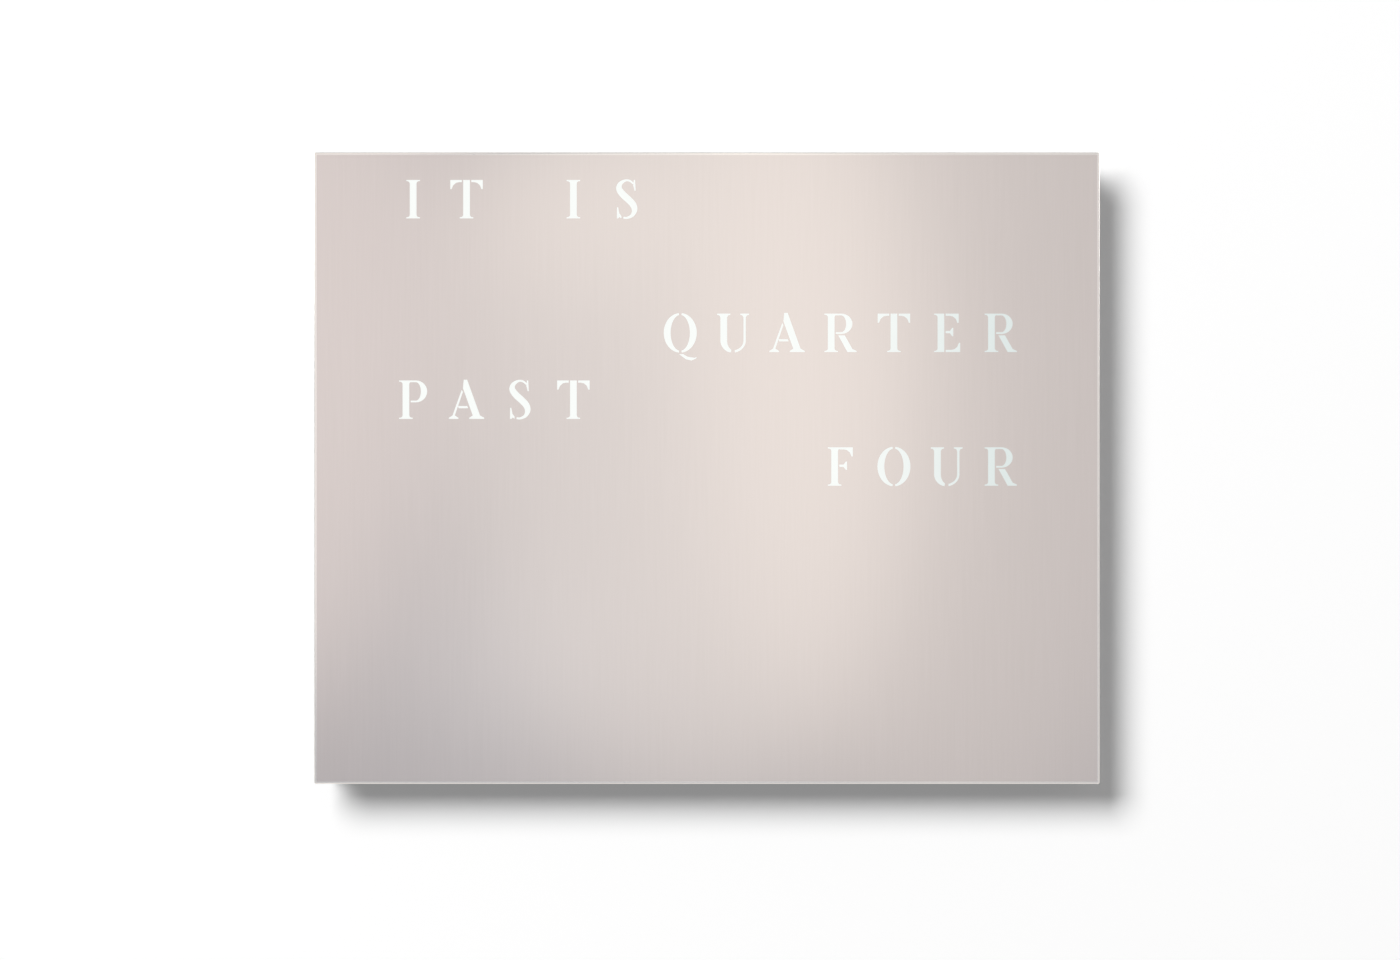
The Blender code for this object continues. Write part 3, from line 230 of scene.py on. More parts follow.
sky = add_node(tree, "ShaderNodeMixShader", {0: camera_ray, 1: lit, 2: seen})
add_node(tree, "ShaderNodeOutputWorld", {"Surface": sky})


# Back cover. A flat panel of black ABS, moulded with a fine spark-eroded texture. It has vents,
# two keyholes for the wall screws and countersunk holes, and pegs inside for the boards.

MERGE = 1e-6
FLAT_ANGLE = math.radians(1)
EDGE_ANGLE = math.radians(30)
COVER_EDGE = 0.0003
GRIT_STRENGTH = 0.6
PLASTIC_CLOUDS, PLASTIC_GLOSS, PLASTIC_SHADE = 30.0, 0.05, 0.86


def deselect():
    bpy.ops.object.select_all(action="DESELECT")


def pick(piece):
    """Make one piece the active object and the only one selected."""
    deselect()
    bpy.context.view_layer.objects.active = piece
    piece.select_set(True)


def edit(piece):
    """Open one piece in edit mode, with all of it selected."""
    pick(piece)
    bpy.ops.object.mode_set(mode="EDIT")
    bpy.ops.mesh.select_all(action="SELECT")


def close():
    bpy.ops.object.mode_set(mode="OBJECT")


def applied(piece, kind, **settings):
    """Give a piece a modifier with its settings, and apply it."""
    modifier = piece.modifiers.new(kind, kind)
    for name, value in settings.items():
        setattr(modifier, name, value)
    pick(piece)
    bpy.ops.object.modifier_apply(modifier=modifier.name)
    return piece


def smooth(piece):
    """Shade a piece smooth between its sharp edges."""
    pick(piece)
    bpy.ops.object.shade_smooth_by_angle(angle=EDGE_ANGLE)
    return piece


def soften(piece, width, segments=2):
    """Round a piece's edges with a bevel, and keep its broad faces flat in the shading."""
    applied(
        piece, "BEVEL", width=width, segments=segments, limit_method="ANGLE",
        angle_limit=EDGE_ANGLE,
    )
    return applied(smooth(piece), "WEIGHTED_NORMAL", keep_sharp=True)


def coated(piece, material):
    piece.data.materials.clear()
    piece.data.materials.append(material)
    return piece


def fit(piece, body, node):
    """Attach a piece to the body it rides on, and hide the CAD node it replaces."""
    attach(piece, body)
    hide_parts(node)


def finished(node, name, edge, material, body, segments=2):
    """Fit a copy of a CAD node, its triangles merged, its edges rounded and its finish on."""
    copy = bpy.data.objects.new(name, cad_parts[node].data.copy())
    bpy.context.collection.objects.link(copy)
    edit(copy)
    bpy.ops.mesh.customdata_custom_splitnormals_clear()
    bpy.ops.mesh.remove_doubles(threshold=MERGE)
    bpy.ops.mesh.dissolve_limited(angle_limit=FLAT_ANGLE)
    close()
    fit(coated(soften(copy, edge, segments), material), body, node)


def surface(name, colour, **sockets):
    """A Principled material with its constants set, its node tree and its object's place."""
    material = bpy.data.materials.new(name)
    material.use_nodes = True
    tree = material.node_tree
    shader = tree.nodes["Principled BSDF"]
    shader.inputs["Base Color"].default_value = linear(colour)
    for socket, value in sockets.items():
        shader.inputs[socket.replace("_", " ")].default_value = value
    return material, tree, add_node(tree, "ShaderNodeTexCoord").outputs["Object"]


def vary(tree, pattern, gloss=None, relief=None, tones=None, toned="Base Color"):
    """Let a pattern drive a finish: its roughness, its relief (strength, depth) and its tone."""
    driven = {}
    if gloss:
        low, high = gloss
        share = add_node(tree, "ShaderNodeMapRange", {0: pattern, 3: low, 4: high})
        driven["Roughness"] = share.outputs[0]
    if relief:
        strength, depth = relief
        bump = add_node(
            tree, "ShaderNodeBump", {"Height": pattern, "Strength": strength, "Distance": depth},
        )
        driven["Normal"] = bump.outputs[0]
    if tones:
        first, second = tones
        mix = {0: pattern, 6: first, 7: second}
        driven[toned] = add_node(tree, "ShaderNodeMix", mix, data_type="RGBA").outputs[2]
    for socket, value in driven.items():
        tree.links.new(value, tree.nodes["Principled BSDF"].inputs[socket])


def moulded(name, colour, roughness, grit, depth, ior=1.53):
    """Moulded plastic: a fine even grit in the surface, and slight unevenness in its gloss."""
    material, tree, place = surface(name, colour, Roughness=roughness, IOR=ior)
    fine = {"Vector": place, "Scale": 1 / grit, "Detail": 2.0}
    vary(tree, add_node(tree, "ShaderNodeTexNoise", fine), relief=(GRIT_STRENGTH, depth))
    broad = {"Vector": place, "Scale": PLASTIC_CLOUDS, "Detail": 3.0}
    vary(
        tree, add_node(tree, "ShaderNodeTexNoise", broad),
        (roughness - PLASTIC_GLOSS, roughness + PLASTIC_GLOSS),
        tones=(linear(colour), linear(colour, PLASTIC_SHADE)),
    )
    return material


# ABS off a spark-eroded tool looks dull and fine-grained, and a little greyer where light grazes.
textured_abs = moulded("spark_eroded_black_abs", 0x2A2B2E, 0.62, 0.0007, 0.00012, 1.54)
finished(
    "back_cover", "moulded_back_cover", COVER_EDGE, textured_abs, "casing",
)


# Frame rails. Four lengths of one aluminium extrusion with a ledge inside, mitred at the corners
# and satin anodised. The die leaves fine lines along each length.

RAIL_EDGE = 0.00025
DIE_LINE_WIDTH = 0.0005
DIE_LINE_LENGTH = 0.09
ANODISED = 0xC9CACB
ANODISED_ROUGHNESS, DIE_LINE_DEPTH = 0.36, 0.00002
LINE_STRENGTH, LINE_GLOSS, LINE_SHADE = 0.5, 0.07, 0.9


def drawn_metal(name, colour, roughness, scale, depth):
    """Metal with fine lines along its length, as an extrusion's die or a laser cut leaves them."""
    material, tree, place = surface(name, colour, Roughness=roughness, Metallic=1.0)
    stretched = add_node(tree, "ShaderNodeMapping", {"Vector": place, "Scale": scale})
    lines = {"Vector": stretched, "Scale": 1.0, "Detail": 4.0}
    vary(
        tree, add_node(tree, "ShaderNodeTexNoise", lines),
        (roughness - LINE_GLOSS, roughness + LINE_GLOSS), (LINE_STRENGTH, depth),
        (linear(colour, LINE_SHADE), linear(colour)),
    )
    return material


across, along = 1 / DIE_LINE_WIDTH, 1 / DIE_LINE_LENGTH
anodised_level = drawn_metal(
    "satin_anodised_aluminium_level", ANODISED, ANODISED_ROUGHNESS, (along, across, across),
    DIE_LINE_DEPTH,
)
anodised_upright = drawn_metal(
    "satin_anodised_aluminium_upright", ANODISED, ANODISED_ROUGHNESS, (across, across, along),
    DIE_LINE_DEPTH,
)
for side, material in (
    ("top", anodised_level), ("bottom", anodised_level), ("left", anodised_upright),
    ("right", anodised_upright),
):
    finished(
        f"frame_rail_{side}", f"extruded_rail_{side}", RAIL_EDGE, material, "casing",
    )


# Corner blocks. Black glass-filled nylon, moulded. Each is bonded into its corner of the frame,
# with the cover's screw in its back and a magnet in its front.

CORNERS = ("bottom_left", "bottom_right", "top_right", "top_left")
BLOCK_EDGE = 0.0004

# Glass fibre near the surface gives nylon a faintly mottled, half-matt skin.
filled_nylon = moulded("glass_filled_black_nylon", 0x232427, 0.55, 0.0009, 0.00008)
for corner in CORNERS:
    finished(
        f"corner_block_{corner}", f"moulded_corner_block_{corner}", BLOCK_EDGE, filled_nylon,
        "casing",
    )


# Magnets. Pressed neodymium discs, nickel plated against rust. Each is bonded into the pocket in
# the front of its corner block, and holds the front by its strike.

MAGNET_RIM = 0.0003
DISC_SIDES = 48
ROOM = Matrix.Rotation(math.pi / 2, 4, "X")
TURNS = {"out": (math.pi / 2, 0, 0), "up": (0, 0, 0), "across": (0, math.pi / 2, 0)}
PLATING_CLOUDS, SHINIER, DULLER = 900.0, 0.06, 0.08
PEEL_STRENGTH, PEEL_DEPTH = 0.3, 0.00001


def room(x, y, depth):
    """A bench place as the room has it."""
    return ROOM @ Vector((x, y, depth))


def bench(node):
    """The two corners of a CAD node's box, as it lies on the bench."""
    low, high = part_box(node)
    return Vector((low.x, low.z, -high.y)), Vector((high.x, high.z, -low.y))


def place_in_mesh(piece):
    """Move an object's place and turn into its mesh."""
    pick(piece)
    bpy.ops.object.transform_apply(location=True, rotation=True, scale=True)
    return piece


def drum(name, middle, radius, length, run="out", edge=0.0, sides=24, segments=2):
    """A cylinder round a bench place, running out from the wall, up or across."""
    deselect()
    bpy.ops.mesh.primitive_cylinder_add(
        vertices=sides, radius=radius, depth=length, location=room(*middle), rotation=TURNS[run],
    )
    piece = place_in_mesh(bpy.context.object)
    piece.name = name
    return soften(piece, edge, segments) if edge else piece


def plated(name, colour, roughness):
    """Plated or polished metal: almost even, with faint clouding in its gloss."""
    material, tree, place = surface(name, colour, Roughness=roughness, Metallic=1.0)
    cloud = {"Vector": place, "Scale": PLATING_CLOUDS, "Detail": 4.0}
    vary(
        tree, add_node(tree, "ShaderNodeTexNoise", cloud),
        (roughness - SHINIER, roughness + DULLER), (PEEL_STRENGTH, PEEL_DEPTH),
    )
    return material


# Nickel over neodymium is bright and slightly yellow, with a soft orange-peel.
nickel = plated("nickel_plating", 0xC8C6C0, 0.2)
for corner in CORNERS:
    low, high = bench(f"magnet_{corner}")
    magnet = drum(
        f"plated_magnet_{corner}", (low + high) / 2, (high.x - low.x) / 2, high.z - low.z,
        edge=MAGNET_RIM, sides=DISC_SIDES, segments=3,
    )
    fit(coated(magnet, nickel), "casing", f"magnet_{corner}")


# Lamp carrier. A flat board of grey foamed PVC that the strips are stuck on. It lies on the
# rails' ledges, and four screws from behind draw the light grid down on it.

CARRIER_EDGE = 0.0002

# Foamed PVC is quite matt, with a fine closed grain.
foamed_pvc = moulded("grey_foamed_pvc", 0x8D9094, 0.6, 0.0011, 0.00006)
finished(
    "led_carrier", "foamed_lamp_carrier", CARRIER_EDGE, foamed_pvc, "casing",
)


# Lamp strips. Nine lengths of white flexible circuit, each with a square lamp behind every letter
# and a clip at each end that grips the jumper's cores. They are stuck down on the carrier.

LAMP_SIDE, LAMP_HEIGHT, LAMP_EDGE = 0.0050, 0.0016, 0.00012
WINDOW_RADIUS, WINDOW_DEPTH = 0.0021, 0.00045
LEG_SPACING, LEG_WIDTH, LEG_REACH = 0.0016, 0.0009, 0.0003
PAD_SPACING, PAD_WIDTH, PAD_LENGTH, PAD_HEIGHT = 0.0026, 0.0015, 0.0040, 0.00004
RESISTOR, END_CAP_RISE = (0.00125, 0.0020, 0.0005), 1.06
RESISTOR_OFFSET = 0.0052
CHIP_EDGE = 0.00012
CLIP_LENGTH, CLIP_WIDTH, CLIP_HEIGHT = 0.0022, 0.0080, 0.0024
CORE_HOLE = 0.0005
STRIP_THICKNESS, STRIP_EDGE = 0.0004, 0.0001
COLUMNS, ROWS = 12, 9
COLUMN_PITCH, ROW_PITCH = 0.03333, 0.0417


def cuboid(name, low, high, edge=0.0, segments=1):
    """A box between two bench corners, with its edges rounded."""
    ends = [room(*low), room(*high)]
    deselect()
    bpy.ops.mesh.primitive_cube_add(size=1, location=(ends[0] + ends[1]) / 2)
    piece = bpy.context.object
    piece.name = name
    piece.scale = [abs(far - near) for near, far in zip(*ends)]
    place_in_mesh(piece)
    return soften(piece, edge, segments) if edge else piece


def block(name, foot, size, edge=0.0, segments=1):
    """A box that stands on a bench place, with its edges rounded."""
    x, y, level = foot
    width, length, height = size
    return cuboid(
        name, (x - width / 2, y - length / 2, level),
        (x + width / 2, y + length / 2, level + height), edge, segments,
    )


def carve(piece, *cutters, operation="DIFFERENCE"):
    """Cut shapes out of a piece, or cut it down to them."""
    for cutter in cutters:
        applied(piece, "BOOLEAN", operation=operation, solver="EXACT", object=cutter)
        bpy.data.objects.remove(cutter)
    return piece


def joined(name, pieces):
    """One object from several, each keeping its own material."""
    deselect()
    for piece in pieces:
        piece.select_set(True)
    bpy.context.view_layer.objects.active = pieces[0]
    bpy.ops.object.join()
    pieces[0].name = name
    return pieces[0]


def copied(piece, name, x, y, depth=0.0):
    """A copy of a piece with its own mesh, moved by a bench distance."""
    copy = piece.copy()
    copy.data = piece.data.copy()
    copy.name = name
    bpy.context.collection.objects.link(copy)
    copy.location = room(x, y, depth)
    return place_in_mesh(copy)


def spread(middle, count, pitch):
    """Places at one pitch, evenly about a middle."""
    return [middle + (index - (count - 1) / 2) * pitch for index in range(count)]


def chip_resistor(x, y, face):
    """A surface-mounted resistor on a face, and its two tinned ends."""
    width, length, height = RESISTOR
    ends = [
        block(
            "end_cap", (x, end, face), (width, height, height * END_CAP_RISE), CHIP_EDGE / 2,
        ) for end in (y - length / 2, y + length / 2)
    ]
    ceramic = block("resistor", (x, y, face), RESISTOR, CHIP_EDGE / 2)
    return [coated(ceramic, resistor_ceramic), *(coated(end, tin) for end in ends)]


# White solder resist over thin polyimide: half-matt and slightly warm.
resist = moulded("white_solder_resist", 0xE9E7DF, 0.42, 0.0008, 0.00001, 1.55)
lamp_resin = moulded("white_lamp_resin", 0xF0EFEA, 0.4, 0.0005, 0.00001, 1.52)
# Phosphor in clear silicone is a saturated yellow under a wet-looking face.
phosphor = moulded("yellow_phosphor_silicone", 0xE6C65A, 0.18, 0.0004, 0.00002, 1.41)
# Tin is greyer than nickel, and duller. The resistors' glaze is glossy, the clips' nylon waxy.
tin = plated("dull_tin_solder", 0xC4C6C8, 0.34)
resistor_ceramic = moulded("black_resistor_glaze", 0x1E1E20, 0.3, 0.0005, 0.00001, 1.5)
clip_nylon = moulded("natural_white_nylon", 0xDEDCD2, 0.45, 0.0007, 0.00003)

low, high = bench("led_strip_5")
strip_face = low.z + STRIP_THICKNESS
lamp_top = strip_face + LAMP_HEIGHT
body = block(
    "lamp", (0, 0, strip_face + LAMP_EDGE), (LAMP_SIDE, LAMP_SIDE, LAMP_HEIGHT - LAMP_EDGE),
    LAMP_EDGE,
)
carve(body, drum("window", (0, 0, lamp_top), WINDOW_RADIUS, 2 * WINDOW_DEPTH))
window_fill = drum(
    "phosphor", (0, 0, lamp_top - WINDOW_DEPTH), WINDOW_RADIUS - LAMP_EDGE / 4, WINDOW_DEPTH,
    edge=LAMP_EDGE / 2,
)
unit = [coated(body, lamp_resin), coated(window_fill, phosphor)]
for x in (-LAMP_SIDE / 2, LAMP_SIDE / 2):
    for y in spread(0, 3, LEG_SPACING):
        size = (2 * LEG_REACH, LEG_WIDTH, LAMP_HEIGHT - LAMP_SIDE / 6)
        unit.append(coated(block("leg", (x, y, strip_face), size), tin))
unit += chip_resistor(LAMP_SIDE / 2 + RESISTOR_OFFSET, 0, strip_face)
lamp_unit = joined("lamp_unit", unit)

strip_parts = [
    coated(cuboid("strip", low, (high.x, high.y, strip_face), STRIP_EDGE), resist),
    *(copied(lamp_unit, "lamp_unit", x, 0) for x in spread(0, COLUMNS, COLUMN_PITCH)),
]
bpy.data.objects.remove(lamp_unit)
for x in spread(0, COLUMNS - 1, COLUMN_PITCH):
    for y in spread(0, 3, PAD_SPACING):
        size = (PAD_LENGTH, PAD_WIDTH, 2 * PAD_HEIGHT)
        strip_parts.append(coated(block("cut_pad", (x, y, strip_face - PAD_HEIGHT), size), tin))
for side in (-1, 1):
    clip = block(
        "clip", (side * (high.x - CLIP_LENGTH / 2), 0, strip_face),
        (CLIP_LENGTH, CLIP_WIDTH, CLIP_HEIGHT - STRIP_THICKNESS), LAMP_EDGE * 2, 2,
    )
    carve(clip, *(
        drum(
            "core_hole", (side * high.x, y, low.z + CLIP_HEIGHT / 2), CORE_HOLE, CLIP_LENGTH,
            "across", sides=12,
        ) for y in spread(0, 3, PAD_SPACING / 2)
    ))
    strip_parts.append(coated(clip, clip_nylon))
strip = joined("lamp_strip", strip_parts)
for row, y in enumerate(spread(0, ROWS, -ROW_PITCH), 1):
    laid = copied(strip, f"lamp_strip_row_{row}", 0, y)
    fit(laid, "casing", f"led_strip_{row}")
bpy.data.objects.remove(strip)


# Strip jumpers. Flat three-core cable in PVC, bent round the grid's end from each strip's clip to
# the next. One outer core is red, so that the strips aren't joined the wrong way round.

CORE_RADIUS = 0.0004
ARM_SPACING, UPRIGHT_SPACING = 0.00135, 0.00078
CORE_BEND, BEND_STEPS = 0.0016, 8


def bow(x, y, reach_x, reach_y, first, last, steps=14):
    """Points on an ellipse from one angle to another, in degrees."""
    angles = (math.radians(first + (last - first) * step / steps) for step in range(steps + 1))
    return [(x + reach_x * math.cos(a), y + reach_y * math.sin(a)) for a in angles]


def mended(piece):
    """Merge a piece's doubled points, turn its faces outwards and shade it."""
    edit(piece)
    bpy.ops.mesh.remove_doubles(threshold=MERGE)
    bpy.ops.mesh.normals_make_consistent(inside=False)
    close()
    return smooth(piece)


def wire(name, places, radius, roundness=2):
    """A round wire through bench places, with closed ends."""
    path = bpy.data.curves.new(name, "CURVE")
    path.dimensions = "3D"
    path.bevel_depth, path.bevel_resolution, path.use_fill_caps = radius, roundness, True
    spline = path.splines.new("POLY")
    spline.points.add(len(places) - 1)
    for point, place in zip(spline.points, places):
        point.co = (*room(*place), 1)
    piece = bpy.data.objects.new(name, path)
    bpy.context.collection.objects.link(piece)
    pick(piece)
    bpy.ops.object.convert(target="MESH")
    return mended(piece)


# Soft PVC over each core: half-glossy, with a very slight unevenness from the extruder.
grey_core = moulded("grey_pvc_core", 0x8E9499, 0.38, 0.0012, 0.00003, 1.53)
red_core = moulded("red_pvc_core", 0x9C2F2A, 0.38, 0.0012, 0.00003, 1.53)
for number in range(1, ROWS):
    low, high = bench(f"strip_jumper_{number}")
    side, start = (1, low.x) if low.x > 0 else (-1, high.x)
    rise, middle = (high.y - low.y) / 2, (high.y + low.y) / 2
    cores = []
    for core, coat in enumerate((red_core, grey_core, grey_core)):
        x = start + side * (high.x - low.x - CORE_RADIUS - core * UPRIGHT_SPACING)
        y = rise - 2 * CORE_RADIUS - core * ARM_SPACING
        upper = bow(
            x - side * CORE_BEND, y - CORE_BEND, side * CORE_BEND, CORE_BEND, 90, 0, BEND_STEPS,
        )
        route = [(start, y), *upper, *((px, -py) for px, py in reversed(upper)), (start, -y)]
        places = [(px, middle + py, low.z + CORE_RADIUS) for px, py in route]
        cores.append(coated(wire("core", places, CORE_RADIUS), coat))
    jumper = joined(f"three_core_jumper_{number}", cores)
    fit(jumper, "casing", f"strip_jumper_{number}")


# Light grid. White ABS, moulded in one piece: a cell for each letter, drafted so that it leaves
# the tool, with channels below for the lamp strips and a boss for each screw.

GRID_EDGE = 0.0002

# A polished tool leaves white ABS smooth but not glossy, and very faintly mottled.
white_abs = moulded("moulded_white_abs", 0xEDEDE8, 0.5, 0.0009, 0.00004, 1.54)
finished("light_grid", "moulded_light_grid", GRID_EDGE, white_abs, "casing")


# Screws. Countersunk socket screws in blackened steel, all alike. Four hold the cover on the
# corner blocks, and four pass through the carrier into the light grid's bosses.

SCREW_HEAD, SCREW_RIM, SCREW_HEAD_DEPTH, SCREW_EDGE = 0.0029, 0.0003, 0.0016, 0.00012
THREAD_CREST, THREAD_ROOT, THREAD_PITCH = 0.0013, 0.00105, 0.0005
SCREW_LENGTH, SCREW_TIP = 0.010, 0.0009
HEX_RADIUS, HEX_DEPTH = 0.0011, 0.0011


def turned(name, profile, middle, run, steps=32):
    """A body turned from (radius, distance) points, about a bench direction through a place."""
    along_run = room(*run)
    outward = along_run.orthogonal().normalized()
    centre = room(*middle)
    line = bpy.data.meshes.new(name)
    line.from_pydata(
        [centre + outward * radius + along_run * distance for radius, distance in profile],
        [(end, end + 1) for end in range(len(profile) - 1)], [],
    )
    piece = bpy.data.objects.new(name, line)
    bpy.context.collection.objects.link(piece)
    edit(piece)
    bpy.ops.mesh.spin(steps=steps, angle=2 * math.pi, center=centre, axis=along_run)
    close()
    return mended(piece)


# Hot black oxide is a thin dark skin: a low dull sheen, with the metal's own reflection.
blackened = plated("black_oxide_steel", 0x3A3B3D, 0.42)
profile = [
    (0, 0), (SCREW_HEAD - SCREW_EDGE, 0), (SCREW_HEAD, SCREW_EDGE), (SCREW_HEAD, SCREW_RIM),
    (THREAD_CREST, SCREW_HEAD_DEPTH),
]
turn_at = SCREW_HEAD_DEPTH + THREAD_PITCH
while turn_at < SCREW_LENGTH - SCREW_TIP:
    profile += [(THREAD_ROOT, turn_at), (THREAD_CREST, turn_at + THREAD_PITCH / 2)]
    turn_at += THREAD_PITCH
profile += [
    (THREAD_ROOT, SCREW_LENGTH - SCREW_TIP / 2), (THREAD_ROOT - SCREW_TIP / 2, SCREW_LENGTH),
    (0, SCREW_LENGTH),
]
screw = coated(turned("screw", profile, (0, 0, 0), (0, 0, 1)), blackened)
smooth(carve(screw, drum("hex_key", (0, 0, 0), HEX_RADIUS, 2 * HEX_DEPTH, sides=6)))
for corner in CORNERS:
    for held in ("cover", "grid"):
        node = f"{held}_screw_{corner}"
        low, high = bench(node)
        x, y = (low.x + high.x) / 2, (low.y + high.y) / 2
        driven = copied(screw, f"socket_screw_{held}_{corner}", x, y, low.z)
        fit(driven, "casing", node)
bpy.data.objects.remove(screw)


# Controller board. Green circuit board on the cover's pegs. It carries a radio module under its
# can, three plugs, a capacitor, a coil and the socket for the clock module's pins.

BOARD_THICKNESS, BOARD_EDGE = 0.0016, 0.0001
PEG_INSET, PEG_HOLE, PEG_RING = 0.0026, 0.0013, 0.0021
FOIL, TRACK_PITCH, TRACK_SHARE, TRACK_STRENGTH = 0.00004, 0.0022, 0.34, 0.4
RESIST_CLOUDS, RESIST_ROUGHNESS, RESIST_GLOSS = 700.0, 0.3, (0.24, 0.36)
RADIO_LENGTH, RADIO_WIDTH, RADIO_BOARD, RADIO_END = 0.024, 0.0155, 0.001, 0.0048
CAN_LENGTH, CAN_WIDTH, CAN_HEIGHT, CAN_EDGE = 0.016, 0.012, 0.0024, 0.0003
AERIAL_LINES, AERIAL_WIDTH = 7, 0.0005
PLUG_LENGTH, PLUG_DEPTH, PLUG_HEIGHT, PLUG_WALL = 0.0075, 0.0058, 0.006, 0.0008
PLUG_SHIFT, PLUG_EDGE = 0.0075, 0.0002
CAPACITOR_RADIUS, CAPACITOR_HEIGHT, CAPACITOR_RIM = 0.0032, 0.0085, 0.0004
SCORE_WIDTH = 0.0002
COIL_SIDE, COIL_HEIGHT, COIL_EDGE = 0.006, 0.003, 0.0005
CHIP = (0.005, 0.004, 0.0015)
PIN_COUNT, PIN_PITCH, PIN_SIDE, HEADER = 4, 0.00254, 0.00064, 0.0025
PART_ROW = 0.0106
PART_PITCH, PARTS_BELOW_RADIO, PARTS_BELOW_CHIP = 0.0027, 0.0024, 0.0056


def circuit(name, colour, traces):
    """Solder resist over copper: glossy, with the tracks under it showing as lighter lines."""
    material, tree, place = surface(name, colour, Roughness=RESIST_ROUGHNESS, IOR=1.55)
    cells = add_node(
        tree, "ShaderNodeTexVoronoi", {"Vector": place, "Scale": 1 / TRACK_PITCH},
        distance="MANHATTAN",
    )
    track = add_node(tree, "ShaderNodeMath", {0: cells, 1: TRACK_SHARE}, operation="LESS_THAN")
    vary(tree, track, relief=(TRACK_STRENGTH, FOIL), tones=(linear(colour), linear(traces)))
    cloud = {"Vector": place, "Scale": RESIST_CLOUDS, "Detail": 2.0}
    vary(tree, add_node(tree, "ShaderNodeTexNoise", cloud), gloss=RESIST_GLOSS)
    return material


def pegged_board(name, low, high, pegs, material):
    """A circuit board, and a tinned ring round each peg's hole."""
    face = high[2]
    base = cuboid(name, low, high, BOARD_EDGE)
    carve(base, *(drum("hole", (x, y, face), PEG_HOLE, 4 * (face - low[2])) for x, y in pegs))
    section = [(PEG_HOLE, -FOIL), (PEG_RING, -FOIL), (PEG_RING, FOIL), (PEG_HOLE, FOIL)]
    rings = [
        coated(turned("ring", [*section, section[0]], (x, y, face), (0, 0, 1), 24), tin)
        for x, y in pegs
    ]
    return coated(base, material), rings


def plug(foot, size, opening):
    """A white plug shell on a board, hollow towards its lead."""
    shell = block("plug", foot, size, PLUG_EDGE, 2)
    inner = [side - 2 * PLUG_WALL * (1 - abs(way)) for side, way in zip(size, opening)]
    x, y, level = (place + PLUG_WALL * way for place, way in zip(foot, opening))
    carve(shell, block("hollow", (x, y, level + PLUG_WALL), inner))
    return coated(shell, clip_nylon)


def cross(name, foot, reach, width, height):
    """Two bars that cross on a face, to cut a plus into it."""
    bars = ((2 * reach, width, height), (width, 2 * reach, height))
    return [block(name, foot, bar) for bar in bars]


def fit_lots(node, lots):
    """Join each lot of a board's parts, and fit it in place of the board's CAD node."""
    for name, (parts, slot) in lots.items():
        fit(joined(name, parts), "casing", node)


green_resist = circuit("green_solder_resist", 0x1F5B3C, 0x2B704A)
# Epoxy packages are dull, a capacitor's shrunk sleeve is glossier, and ferrite is a matt grey.
black_epoxy = moulded("black_epoxy_package", 0x1C1C1E, 0.5, 0.0004, 0.00002, 1.55)
sleeve = moulded("black_capacitor_sleeve", 0x22262E, 0.32, 0.0010, 0.00002, 1.5)
ferrite = moulded("grey_ferrite", 0x3B3C3E, 0.6, 0.0006, 0.00004)
# Gold flash is pale and satin. The can is tinned sheet, brighter than solder.
gold = plated("gold_flash", 0xD8B768, 0.26)
steel_can = plated("tinned_steel_can", 0xBFC1C2, 0.28)

low, high = bench("controller_board")
middle, half = (low + high) / 2, (high - low) / 2
face = low.z + BOARD_THICKNESS
pegs = [
    (middle.x + side * (half.x - PEG_INSET), middle.y + up * (half.y - PEG_INSET))
    for side in (-1, 1) for up in (-1, 1)
]
base, rings = pegged_board("controller", low, (high.x, high.y, face), pegs, green_resist)
radio_low = high.y - RADIO_END - RADIO_LENGTH
radio_face = face + RADIO_BOARD
can_low = radio_low + (RADIO_LENGTH - CAN_LENGTH) / 4
aerial_low = can_low + CAN_LENGTH + 2 * CAN_EDGE
aerial_high = radio_low + RADIO_LENGTH - 2 * CAN_EDGE
aerial_pitch = RADIO_WIDTH / (AERIAL_LINES + 2)
copper = []
for line, x in enumerate(spread(middle.x, AERIAL_LINES, aerial_pitch)):
    lengths = [(x - AERIAL_WIDTH / 2, aerial_low, x + AERIAL_WIDTH / 2, aerial_high)]
    if line:
        y = aerial_low if line % 2 else aerial_high - AERIAL_WIDTH
        lengths.append((x - aerial_pitch, y, x, y + AERIAL_WIDTH))
    for left, lower, right, upper in lengths:
        copper.append(coated(cuboid(
            "aerial", (left, lower, radio_face - FOIL), (right, upper, radio_face + FOIL),
        ), gold))
radio_pcb = coated(block(
    "radio", (middle.x, radio_low + RADIO_LENGTH / 2, face),
    (RADIO_WIDTH, RADIO_LENGTH, RADIO_BOARD), BOARD_EDGE,
), green_resist)
shield = coated(block(
    "shield", (middle.x, can_low + CAN_LENGTH / 2, radio_face),
    (CAN_WIDTH, CAN_LENGTH, CAN_HEIGHT), CAN_EDGE, 3,
), steel_can)
row_y, cap_top = low.y + PART_ROW, face + CAPACITOR_HEIGHT
cap_x, coil_x = middle.x - half.x / 2, middle.x + half.x / 2
canister = coated(drum(
    "canister", (cap_x, row_y, face + CAPACITOR_HEIGHT / 2), CAPACITOR_RADIUS, CAPACITOR_HEIGHT,
    edge=CAPACITOR_RIM, sides=32,
), sleeve)
lid_radius = CAPACITOR_RADIUS - 2 * CAPACITOR_RIM
lid = coated(turned(
    "lid", [(0, -FOIL), (lid_radius, -FOIL), (lid_radius, FOIL), (0, FOIL)],
    (cap_x, row_y, cap_top), (0, 0, 1),
), steel_can)
carve(lid, *cross(
    "score", (cap_x, row_y, cap_top), CAPACITOR_RADIUS / 2, SCORE_WIDTH, 2 * FOIL,
))
coil = coated(block(
    "coil", (coil_x, row_y, face), (COIL_SIDE, COIL_SIDE, COIL_HEIGHT), COIL_EDGE, 2,
), ferrite)
